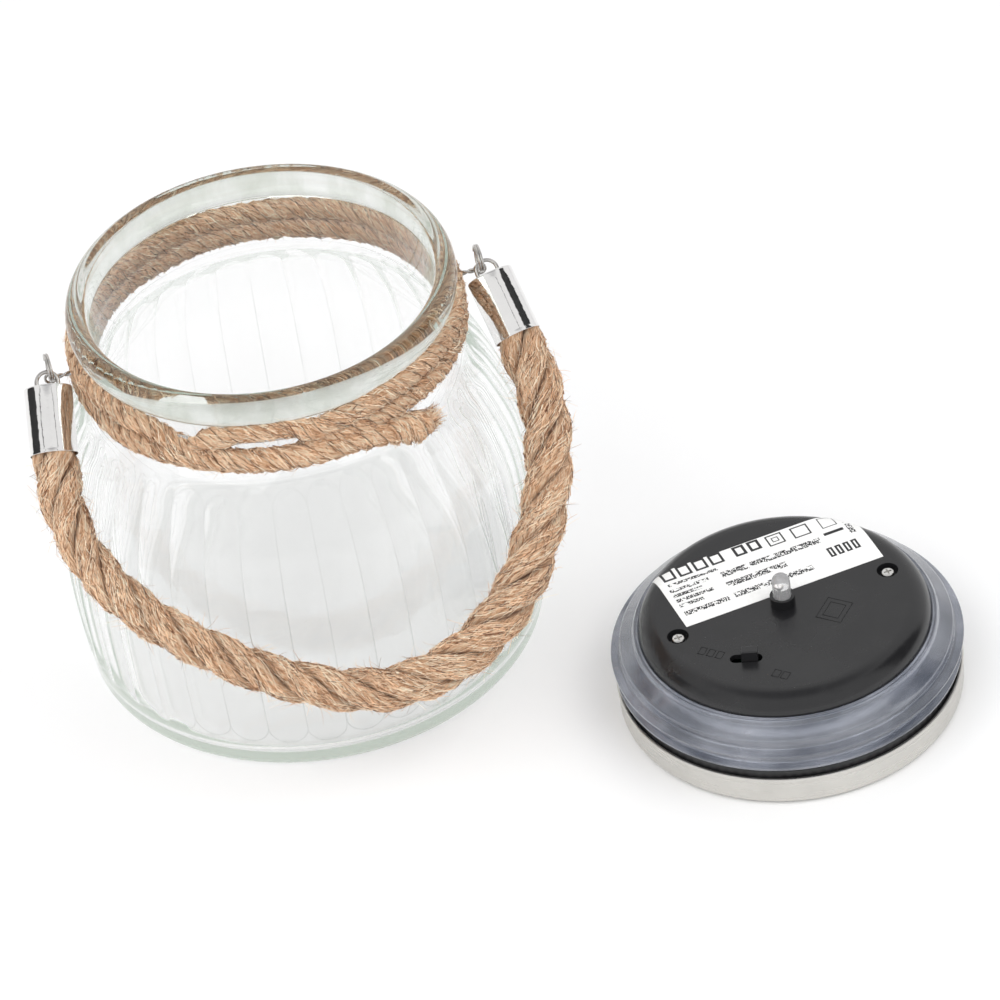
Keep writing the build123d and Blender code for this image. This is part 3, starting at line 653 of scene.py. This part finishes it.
def add_hair(points, faces, path, thickness):
    """A thin three-sided tube that tapers to its tip, closed at both ends."""
    base = len(points)
    for i, point in enumerate(path):
        ahead = (path[min(i + 1, len(path) - 1)] - path[max(i - 1, 0)]).normalized()
        across = ahead.orthogonal().normalized()
        size = thickness * (1 - 0.6 * i / (len(path) - 1))
        for corner in range(3):
            points.append(point + Matrix.Rotation(corner * TURN / 3, 3, ahead) @ across * size)
    for i in range(len(path) - 1):
        a, b = base + 3 * i, base + 3 * i + 3
        for corner in range(3):
            other = (corner + 1) % 3
            faces.append((a + corner, a + other, b + other, b + corner))
    end = base + 3 * (len(path) - 1)
    faces.append((base + 2, base + 1, base))
    faces.append((end, end + 1, end + 2))


# ---- the handle's rope ----

PIVOT_Z = middle("handle_ring_left").z / MM
HANDLE_DROP = radians(42)
HANDLE_DOWN = Vector((0, -cos(HANDLE_DROP), -sin(HANDLE_DROP)))
HANDLE_NORMAL = Vector((0, sin(HANDLE_DROP), -cos(HANDLE_DROP)))
ROPE_RADIUS = 6.0
ROPE_LENGTH = 267.5
ROPE_LAY = 40.0
FERRULE_DEPTH = 17.7  # how much of the rope's end is inside a ferrule
FERRULE_BORE_R = 6.35
FERRULE_CLEARANCE = 0.12
ROPE_OPENING = 14.0  # the rope opens out to its full size over this length

# Corners of the rope's route in the handle's plane: along the pivot axis, and down from it.
ROPE_ROUTE = [
    (-61.7, 6.0), (-64.4, 22.5), (-66.2, 39.5), (-62.6, 55.6), (-53.2, 70.9),
    (-38.9, 84.8), (-20.8, 98.2), (2.0, 108.0), (23.6, 106.0), (42.6, 95.0),
    (56.6, 76.8), (65.0, 55.8), (66.8, 37.2), (64.2, 21.0), (61.7, 6.0),
]


def handle_point(across, down):
    return Vector((across, 0, PIVOT_Z)) + HANDLE_DOWN * down


rope_route = [handle_point(*corner) * MM for corner in ROPE_ROUTE]
rope_line = route_samples(rope_route, 0.7)


def ease(value, start, end):
    """0 before start, 1 after end, and smooth between."""
    t = min(1.0, max(0.0, (value - start) / (end - start)))
    return t * t * (3 - 2 * t)


def rope_cap(share):
    """The ferrules hold the rope's ends down to their bore."""
    from_end = ROPE_LENGTH * min(share, 1 - share)
    opened = ease(from_end, FERRULE_DEPTH, FERRULE_DEPTH + ROPE_OPENING)
    return FERRULE_BORE_R - FERRULE_CLEARANCE + ROPE_RADIUS * opened


def rope_swell(share):
    """The rope is pulled a little thinner on its left half."""
    return 0.88 + 0.15 * ease(share, 0.38, 0.68) + 0.12 * (1 - ease(share, 0.06, 0.16))


handle = Rope(rope_line, [HANDLE_NORMAL] * len(rope_line), ROPE_RADIUS, ROPE_LAY, rope_swell, rope_cap)
handle_rope = handle.build("handle_rope_strands", "handle")
handle_fibres = handle.fibres("handle_rope_fibres", "handle", 6000, 2200, reach=2.3, bare=FERRULE_DEPTH)
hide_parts("handle_rope")

# ---- the glass jar ----

JAR_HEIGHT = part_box("glass_jar")[1].z / MM
BELLY_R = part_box("glass_jar")[1].x / MM
BELLY_Z = 38.0
FOOT_R = 64.2
HEEL_RADIUS = 4.2
NECK_R, NECK_BOTTOM_Z = 50.0, 94.5
MOUTH_R = 47.0
BEAD_Z = 115.0
BEAD_R = 53.1
WALL = 3.0
FLUTES = 38
FLUTE_DEPTH = 0.6
FLUTE_TOP_Z, FLUTE_BOTTOM_Z = 90.0, 10.5
FLUTE_STEPS = (-1.0, -0.93, -0.75, -0.5, -0.2, 0.2, 0.5, 0.75, 0.93)
WAVY_DEPTH, WAVY_TOP_Z = 0.12, 92.0  # the wall is slightly uneven inside, up to this height

# The jar's half section as (radius, height): under its foot, up its side, down its inside, and its floor.
UNDER = [(0, 0.9), (45, 0.7), (54, 0.3), (56.5, 0.0)]
SIDE = [(65.3, 16), (BELLY_R, BELLY_Z), (64.2, 64), (57.8, 83), (51.9, 91.6), (NECK_R, NECK_BOTTOM_Z + 1.5)]
INSIDE = [
    (MOUTH_R, 95.5), (54.6, 82.2), (61.1, 63.5), (BELLY_R - WALL, BELLY_Z), (62.5, 17), (61.8, 8.6),
    (59.6, 4.6), (54, 3.2), (34, 3.0),
]
INNER_FLOOR = [(20, 2.9), (0, 2.8)]


def vectors(pairs):
    return [Vector(pair) for pair in pairs]


def smooth_line(points, steps):
    """A smooth line through points, by Catmull-Rom pieces."""
    padded = [2 * points[0] - points[1], *points, 2 * points[-1] - points[-2]]
    line = []
    for p0, p1, p2, p3 in zip(padded, padded[1:], padded[2:], padded[3:]):
        square = p0 * 2 - p1 * 5 + p2 * 4 - p3
        cubic = p1 * 3 - p0 - p2 * 3 + p3
        for k in range(steps):
            t = k / steps
            line.append((p1 * 2 + (p2 - p0) * t + square * t**2 + cubic * t**3) / 2)
    return line + [points[-1]]


def arc(x, y, wide, high, start, turn, steps):
    """Points round the middle (x, y) of an oval, by its half sizes and by angles in degrees."""
    angles = [radians(start + turn * k / steps) for k in range(steps + 1)]
    return [Vector((x + wide * cos(a), y + high * sin(a))) for a in angles]


def jar_outline():
    """Half section of the jar: outside from the foot up, over the bead, and down the inside."""
    heel = arc(FOOT_R - HEEL_RADIUS, HEEL_RADIUS, HEEL_RADIUS, HEEL_RADIUS, -90, 90, 6)
    side = smooth_line([heel[-1], *vectors(SIDE)], 12)
    bead = arc((BEAD_R + MOUTH_R) / 2, BEAD_Z, (BEAD_R - MOUTH_R) / 2, JAR_HEIGHT - BEAD_Z, -82, 262, 30)
    inside = smooth_line(vectors(INSIDE), 10)
    return vectors(UNDER) + heel + side[1:] + bead + inside + vectors(INNER_FLOOR)


# No two flutes are quite alike.
flute_rng = random.Random(3)
FLUTE_TOPS = [FLUTE_TOP_Z + flute_rng.uniform(-1.0, 0.8) for n in range(FLUTES)]
FLUTE_BOTTOMS = [FLUTE_BOTTOM_Z + flute_rng.uniform(-0.6, 1.0) for n in range(FLUTES)]
FLUTE_DEPTHS = [FLUTE_DEPTH * flute_rng.uniform(0.65, 1.25) for n in range(FLUTES)]


def flute_depth(radius, height, angle):
    """How deep a point is in its flute: 1 on its middle line, 0 on its ridges and round its ends."""
    turns = angle * FLUTES / (TURN) + 1e-6
    n = int(turns) % FLUTES
    across = 2 * (turns % 1.0) - 1
    half_width = pi * radius / FLUTES
    beyond = max(0.0, height - (FLUTE_TOPS[n] - half_width), FLUTE_BOTTOMS[n] + half_width - height)
    return n, 1 - across * across - (beyond / half_width) ** 2


def make_jar():
    """The glass, with its flutes outside only. Its material reads where their ridges are, and paints lines of
    shade along them.
    """
    outline = jar_outline()
    outer_rows = next(i for i, p in enumerate(outline) if p.y > NECK_BOTTOM_Z)
    angles = []
    for n in range(FLUTES):
        angles += [TURN / FLUTES * (n + (u + 1) / 2) for u in FLUTE_STEPS]
    points, ridges = [], []
    for angle in angles:
        for i, (radius, height) in enumerate(outline):
            inside = -1.0
            if len(UNDER) <= i < outer_rows:
                n, inside = flute_depth(radius, height, angle)
                radius -= FLUTE_DEPTHS[n] * max(0.0, inside)
            ridges.append(inside)
            way = Vector((cos(angle), sin(angle), 0))
            if i > outer_rows and height < WAVY_TOP_Z:
                radius += WAVY_DEPTH * noise.noise(Vector((way.x * 3.2, way.y * 3.2, height * 0.05)))
            points.append(way * radius + Vector((0, 0, height)))
    faces = turned_faces(len(angles), len(outline), False)
    piece = make_piece("jar_glass_fluted", points, faces, GLASS, "jar", 60)
    add_attribute(piece, "ridge", "FLOAT", ridges)
    close_poles(piece)
    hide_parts("glass_jar")


make_jar()

# ---- the cord round the neck ----

CORD_R = 3.3
CORD_FLAT = 0.72
CORD_LAY = 13.0
CORD_START = -126.0
CORD_TURN = 794.0
CORD_TILT = 1.4
CORD_LINE_R = 52.0
CORD_STEPS = 1600

# Height of the cord's middle by the degrees it has turned since its cut end.
CORD_HEIGHTS = [
    (0, 103.8), (9, 106.2), (16, 107.4), (28, 107.2), (38, 104.6), (48, 106.2), (60, 107.4), (72, 107.6),
    (110, 106.4), (342, 106.4), (366, 100.2), (374, 98.9), (389, 98.8), (402, 100.8), (440, 101.2),
    (500, 100.7), (676, 100.5), (700, 99.4), (736, 98.8), (766, 98.2), (776, 96.8), (794, 92.0),
]


def cord_height(turned):
    """The cord's height on a level jar, eased from each entry of its table to the next."""
    for (start, low), (end, high) in zip(CORD_HEIGHTS, CORD_HEIGHTS[1:]):
        if turned <= end:
            return low + (high - low) * ease(turned, start, end)
    return CORD_HEIGHTS[-1][1]


def cord_swell(share):
    """Thin at its cut end and round the gap between its rows, and splayed at its frayed end."""
    turned = CORD_TURN * share
    above_gap = ease(turned, 8, 16) - ease(turned, 30, 38)
    below_gap = ease(turned, 368, 376) - ease(turned, 390, 398)
    splay = 0.35 * ease(turned, 770, 787) - 0.5 * ease(turned, 789, 794)
    return 0.6 + 0.4 * ease(turned, 0, 8) - 0.22 * (above_gap + below_gap) + splay


def cord_reach(turned):
    """How far the cord's middle is from the jar's axis: further out at its ends and on the shoulder."""
    lowest_row = ease(turned, 676, 740) + ease(turned, 768, 794)
    return CORD_LINE_R + 1.4 * lowest_row + 0.4 * (1 - ease(turned, 0, 14))


def make_neck_cord():
    """One cord: from its cut end round the top row, down to the low row, and on to its frayed end."""
    fine = []
    for k in range(CORD_STEPS + 1):
        turned = CORD_TURN * k / CORD_STEPS
        angle = radians(CORD_START + turned)
        height = cord_height(turned) - CORD_TILT * sin(angle)
        height += 0.25 * sin(3.1 * angle) + 0.15 * sin(7.3 * angle + 1)
        radius = cord_reach(turned)
        fine.append(Vector((radius * cos(angle), radius * sin(angle), height)))
    line = even(fine, 0.6)
    outward = [Vector((point.x, point.y, 0)).normalized() for point in line]
    cord = Rope(line, outward, CORD_R, CORD_LAY, cord_swell, flat=CORD_FLAT, seed=40.0, core=0.36, body=0.66)
    strands = cord.build("neck_cord_strands", "jar", 20)
    fibres = cord.fibres("neck_cord_fibres", "jar", 6000, 2200, 1.3)
    fray = cord.frayed_end("neck_cord_fray", "jar", 520, 4.5)
    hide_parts("neck_cord")


make_neck_cord()

# ---- ferrules, their eyes, the rings and the neck wire ----

FERRULE_LENGTH = 18.5
FERRULE_CAP = 0.8
FERRULE_R = 6.6

# Outlines are (radius, height), and a third number rounds that corner.
FERRULE_OUTLINE = [
    (0, 0.25), (2.2, 0.25, 0.3), (2.9, 0, 0.3), (FERRULE_R - 0.1, 0, 0.55), (FERRULE_R - 0.1, 4.0, 1.0),
    (FERRULE_R - 0.12, FERRULE_LENGTH - 1.0, 0.4), (FERRULE_R, FERRULE_LENGTH, 0.12),
    (FERRULE_BORE_R, FERRULE_LENGTH, 0.1), (FERRULE_BORE_R, FERRULE_CAP), (0, FERRULE_CAP),
]


def ferrule_place(end, inner):
    """The frame of a ferrule: z from its closed end into the rope."""
    start, toward = handle_point(*end), handle_point(*inner)
    along = (toward - start).normalized()
    across = along.cross(HANDLE_NORMAL).normalized()
    depth = along.cross(across)
    turn = Matrix((across, depth, along)).transposed().to_4x4()
    return Matrix.Translation(start - along * FERRULE_CAP) @ turn


def make_ferrule(side, end, inner):
    """A plated cup on the rope's end, from the first two corners of the route at that end."""
    outline = rounded(FERRULE_OUTLINE, closed=False)
    place = ferrule_place(end, inner)
    piece = lathe(f"ferrule_shell_{side}", outline, CHROME, "handle", place, 96, closed=False)
    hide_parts(f"ferrule_{side}")


make_ferrule("left", ROPE_ROUTE[0], ROPE_ROUTE[1])
make_ferrule("right", ROPE_ROUTE[-1], ROPE_ROUTE[-2])


def finish_nodes(material, *nodes):
    """Gives CAD nodes a detailed material in place of their plain one."""
    for node in nodes:
        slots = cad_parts[node].data.materials
        slots.clear()
        slots.append(material)


finish_nodes(WIRE, "ferrule_eye_left", "ferrule_eye_right")


def add_tube(points, faces, path, radius, loop=False, sides=10):
    """A round wire along a path, closed on itself or capped at both ends."""
    base, count = len(points), len(path)
    across = None
    for i, point in enumerate(path):
        after = path[(i + 1) % count] if loop else path[min(i + 1, count - 1)]
        before = path[i - 1] if loop else path[max(i - 1, 0)]
        ahead = (after - before).normalized()
        across = ahead.orthogonal() if across is None else across - ahead * across.dot(ahead)
        across.normalize()
        for k in range(sides):
            points.append(point + Matrix.Rotation(TURN * k / sides, 3, ahead) @ across * radius)
    for i in range(count if loop else count - 1):
        a, b = base + i * sides, base + (i + 1) % count * sides
        for k in range(sides):
            d = (k + 1) % sides
            faces.append((a + k, a + d, b + d, b + k))
    if not loop:
        faces.append(tuple(base + k for k in range(sides))[::-1])
        faces.append(tuple(base + (count - 1) * sides + k for k in range(sides)))


X_AXIS, Y_AXIS, Z_AXIS = Vector((1, 0, 0)), Vector((0, 1, 0)), Vector((0, 0, 1))


def swing(first, second, turn, radius):
    """A step of a radius, turned from one unit vector towards another."""
    return (first * cos(turn) + second * sin(turn)) * radius


def circle(centre, radius, first, second, steps):
    """Points round a circle spanned by two unit vectors."""
    return [centre + swing(first, second, TURN * k / steps, radius) for k in range(steps)]


HOOK_X, HOOK_Z = 60.0, PIVOT_Z - 3.6
HOOK_LOOP_R, HOOK_WIRE_R = 1.5, 0.42
BAND_R, BAND_WIRE_R, BAND_Z = 51.9, 0.6, HOOK_Z + 1.6
STEM_WIRE_R, STEM_WIND, STEM_STEPS = 0.38, 5.0, 24
STEM_TWIST_R = 0.9 * STEM_WIRE_R
STEM_REACH = HOOK_X - HOOK_LOOP_R - 0.2 - BAND_R
RING_R, RING_WIRE_R, RING_GAP = 3.6, 0.36, 0.34
RING_TURNS, RING_STEPS = 2.0, 80


def make_neck_wire():
    """The wire in the cord, its two twisted stems, and a loop at the end of each."""
    points, faces = [], []
    add_tube(points, faces, circle(Z_AXIS * BAND_Z, BAND_R, X_AXIS, Y_AXIS, 96), BAND_WIRE_R, True)
    for side in (-1, 1):
        for phase in (0, pi):
            path = []
            for k in range(STEM_STEPS + 1):
                along = STEM_REACH * k / STEM_STEPS
                wind = phase + along / STEM_WIND * TURN
                centre = Vector((side * (BAND_R + along), 0, HOOK_Z))
                path.append(centre + swing(Y_AXIS, Z_AXIS, wind, STEM_TWIST_R))
            add_tube(points, faces, path, STEM_WIRE_R)
        loop = circle(Vector((side * HOOK_X, 0, HOOK_Z)), HOOK_LOOP_R, X_AXIS, Z_AXIS, 28)
        add_tube(points, faces, loop, HOOK_WIRE_R, True)
    piece = make_piece("neck_wire_twisted", points, faces, WIRE, "jar")
    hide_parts("neck_wire")


def make_split_ring(side_name, side):
    """A split ring: two turns of wire lying side by side."""
    points, faces = [], []
    centre = Vector((side * HOOK_X, 0, PIVOT_Z))
    path = []
    for k in range(RING_STEPS + 1):
        share = k / RING_STEPS
        shift = RING_GAP * tanh(6 * (2 * share - 1))
        path.append(centre + X_AXIS * shift + swing(Y_AXIS, Z_AXIS, TURN * RING_TURNS * share, RING_R))
    add_tube(points, faces, path, RING_WIRE_R)
    piece = make_piece(f"split_ring_{side_name}", points, faces, WIRE, "handle")
    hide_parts(f"handle_ring_{side_name}")


make_neck_wire()
make_split_ring("left", -1)
make_split_ring("right", 1)

# ---- the lid ----

LID_CENTRE = middle("lid_cap") / MM
LID_TURN = radians(4)
LID = Matrix.Translation((LID_CENTRE.x, LID_CENTRE.y, 0)) @ Matrix.Rotation(LID_TURN, 4, "Z")
CAP_R, CAP_HEIGHT = 47.4, 9.4
WINDOW_R = 27.0
SHEET = 0.5
LINER_RIBS, RIB_DEPTH = 110, 0.35

CAP_OUTLINE = [
    (WINDOW_R, 0), (CAP_R - 0.3, 0, 2.4), (CAP_R - 0.3, 7.6, 2.0), (CAP_R, 8.4, 0.4),
    (CAP_R, CAP_HEIGHT, 0.4), (CAP_R - 1.0, CAP_HEIGHT, 0.3), (CAP_R - 1.0, CAP_HEIGHT - 0.6),
    (CAP_R - 0.8, CAP_HEIGHT - 1.2), (CAP_R - 0.8, 2.6, 1.9), (CAP_R - 2.8, SHEET, 0.3), (WINDOW_R, SHEET),
]
LINER_OUTLINE = [
    (46.2, 2.8), (46.2, CAP_HEIGHT + 0.1), (46.2, 11.4, 0.3), (45.0, 11.4), (45.0, 10.5),
    (38.4, 10.5), (38.4, 9.0), (45.0, 9.0), (45.0, 2.6),
]
SEAL_OUTLINE = [
    (39.9, 10.6), (44.8, 10.6), (44.9, 11.9, 0.4), (47.3, 12.6, 0.25), (47.3, 13.3, 0.3),
    (45.5, 14.1, 0.8), (45.3, 16.5, 0.8), (48.0, 17.4, 0.25), (48.0, 18.2, 0.3), (45.5, 18.9, 0.8),
    (45.4, 21.4, 1.0), (41.7, 23.7, 0.6), (41.4, 24.5, 0.3), (41.0, 25.1, 0.3), (40.5, 24.6, 0.2),
    (40.2, 25.2, 0.15), (39.9, 25.1),
]


def make_lid_cap():
    piece = lathe("lid_cap_steel", rounded(CAP_OUTLINE), STEEL, "lid", LID, 160)
    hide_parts("lid_cap")


def liner_rib(radius, height, column):
    """Every other column of the liner's standing edge lies a little deeper."""
    standing = height > CAP_HEIGHT - 0.5 and radius > 45.8
    return radius - RIB_DEPTH * (column % 2) if standing else radius


def make_liner():
    columns = 2 * LINER_RIBS
    piece = lathe("liner_ribbed", rounded(LINER_OUTLINE), BLACK_MATTE, "lid", LID, columns, liner_rib)
    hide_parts("liner_ring")


def make_seal():
    piece = lathe("seal_soft", rounded(SEAL_OUTLINE), SEAL, "lid", LID, 160)
    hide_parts("seal_ring")


make_lid_cap()
make_liner()
make_seal()

finish_nodes(BLACK_GLOSS, "base_cover", "switch_knob", "switch_body")
finish_nodes(BLACK_MATTE, "panel_tray", "battery_holder", "board_parts")
finish_nodes(SCREW, "cover_screws")
finish_nodes(BRASS, "battery_contacts")
finish_nodes(GREEN_BOARD, "circuit_board")
finish_nodes(WINDOW, "solar_window")
finish_nodes(SOLAR, "solar_panel")
finish_nodes(CELL_SLEEVE, "battery")
finish_nodes(LEAD, "battery_leads", "panel_leads")

LABEL_CORNER = (-27.0, 2.4, 0.0)
LABEL_ANGLE = radians(3.2)
finish_nodes(label_finish((LID @ Vector(LABEL_CORNER)) * MM, LID_TURN + LABEL_ANGLE), "label")

COVER_TOP_Z = 30.5
MARK_WIRE_R = 0.14

# Plain raised frames on the cover, in the lid's own place: middle x and y, half width, half height.
COVER_MARKS = [
    (-26.5, -8.5, 0.85, 1.35), (-24.7, -10.3, 0.85, 1.35), (-22.9, -12.1, 0.85, 1.35),
    (-11.8, -25.7, 0.95, 1.35), (-10.0, -27.5, 0.95, 1.35), (11.4, -8.8, 3.6, 4.2), (11.4, -8.8, 2.2, 2.8),
]
COVER_MARK_TURN = radians(-45)


def make_cover_marks():
    """Each frame is a thin ridge that runs round its four corners."""
    points, faces = [], []
    for x, y, half_width, half_height in COVER_MARKS:
        place = LID @ Matrix.Translation((x, y, COVER_TOP_Z)) @ Matrix.Rotation(COVER_MARK_TURN, 4, "Z")
        signs = ((-1, -1), (1, -1), (1, 1), (-1, 1))
        corners = [place @ Vector((half_width * x_sign, half_height * y_sign, 0)) for x_sign, y_sign in signs]
        add_tube(points, faces, corners, MARK_WIRE_R, True, 6)
    piece = make_piece("cover_marks", points, faces, BLACK_GLOSS, "lid")


make_cover_marks()

LED_BOTTOM, LED_TOP = (end.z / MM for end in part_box("led"))
LED_R = 2.5
LED_SHELL_BOTTOM = LED_TOP - 9.6
LED_CUP_BOTTOM = LED_SHELL_BOTTOM + 0.4
LED_LEG_SPACING = 2.54


def make_led():
    """A clear dome with its cup and post inside."""
    dome = arc(0, LED_TOP - LED_R, LED_R, LED_R, 0, 90, 9)
    clear_outline = [(0, LED_SHELL_BOTTOM), (LED_R, LED_SHELL_BOTTOM), *dome]
    shell = lathe("led_dome", clear_outline, LED_CLEAR, "lid", LID, 48, closed=False)
    cup_outline = [
        (0, LED_CUP_BOTTOM), (0.35, LED_CUP_BOTTOM), (0.35, LED_TOP - 4.6), (0.85, LED_TOP - 3.9),
        (0.85, LED_TOP - 3.5), (0.45, LED_TOP - 4.1), (0, LED_TOP - 4.1),
    ]
    cup_place = LID @ Matrix.Translation((-0.5, 0, 0))
    cup = lathe("led_cup", cup_outline, WIRE, "lid", cup_place, 24, closed=False)
    leg_outline = [(0, LED_BOTTOM), (0.25, LED_BOTTOM), (0.25, LED_CUP_BOTTOM), (0, LED_CUP_BOTTOM)]
    for side in (-1, 1):
        leg_place = LID @ Matrix.Translation((side * LED_LEG_SPACING / 2, 0, 0))
        lathe(f"led_leg_{side + 1}", leg_outline, WIRE, "lid", leg_place, 12, closed=False)
    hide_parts("led")


make_led()

# ---- floor, lights and surroundings ----

LIGHT_TARGET = Vector((0.03, -0.03, 0.05))

# Name, place, side in metres, power in watts.
LIGHTS = [
    ("key", (-0.8, -0.75, 1.15), 1.5, 10.5),
    ("fill", (0.8, -0.9, 1.2), 1.2, 8.5),
]

# Name, bearing in degrees, then in metres the distance, the width, and the low and high edge.
CARDS = [
    ("card_left", 164, 0.9, 0.55, (0.0, 0.65)),
    ("card_left_thin", -163, 0.9, 0.05, (0.3, 1.3)),
    ("card_right", -10, 1.1, 0.62, (0.1, 1.3)),
    ("card_front_thin", -61, 1.0, 0.05, (0.8, 1.9)),
    ("card_back", 80, 1.6, 1.2, (0.45, 0.6)),
]

# The sky's colours by the height of a direction: 0 at the horizon and below, 1 straight up.
SKY_STOPS = [(0.0, (1, 1, 1)), (0.86, (0.97, 0.97, 0.97)), (0.97, (0.40, 0.40, 0.41))]
SKY_STRENGTH = 0.93


def add_sheet(name, corners, material):
    """A flat piece of the studio, by its four corners."""
    mesh = bpy.data.meshes.new(name)
    mesh.from_pydata(corners, [], [(0, 1, 2, 3)])
    mesh.materials.append(material)
    return add_object(name, mesh)


def make_floor():
    """A wide floor, just under the model so that the two don't flicker."""
    floor = add_sheet("floor", [(-4, -4, 0), (4, -4, 0), (4, 6, 0), (-4, 6, 0)], floor_finish())
    floor.location.z = -0.0002


def make_light(name, place, size, power):
    """A soft square light aimed between the jar and the lid, that no reflection shows."""
    data = bpy.data.lights.new(name, "AREA")
    data.shape = "SQUARE"
    data.size = size
    data.energy = power
    light = add_object(name, data)
    light.location = place
    light.visible_glossy = False
    light.rotation_euler = (LIGHT_TARGET - light.location).to_track_quat("-Z", "Y").to_euler()


def make_card(name, bearing, distance, width, heights):
    """A dark upright card facing the middle of the scene, that only reflections see."""
    half, (low, high) = width / 2, heights
    card = add_sheet(name, [(0, -half, low), (0, half, low), (0, half, high), (0, -half, high)], CARD)
    turn = radians(bearing)
    card.location = (distance * cos(turn), distance * sin(turn), 0)
    card.rotation_euler.z = turn
    for ray in ("camera", "diffuse", "transmission", "shadow"):
        setattr(card, f"visible_{ray}", False)


def make_world():
    """A white studio, darker overhead."""
    world = bpy.data.worlds.new("studio")
    bpy.context.scene.world = world
    world.use_nodes = True
    sky = Nodes(world.node_tree)
    height = sky.node("SeparateXYZ", {0: sky.node("TexCoord").outputs["Generated"]}).outputs["Z"]
    background = sky.tree.nodes["Background"]
    sky.tree.links.new(sky.ramp(height, *SKY_STOPS), background.inputs["Color"])
    background.inputs["Strength"].default_value = SKY_STRENGTH


make_floor()
make_world()
for light in LIGHTS:
    make_light(*light)
for card in CARDS:
    make_card(*card)
bpy.context.scene.view_settings.view_transform = "Standard"
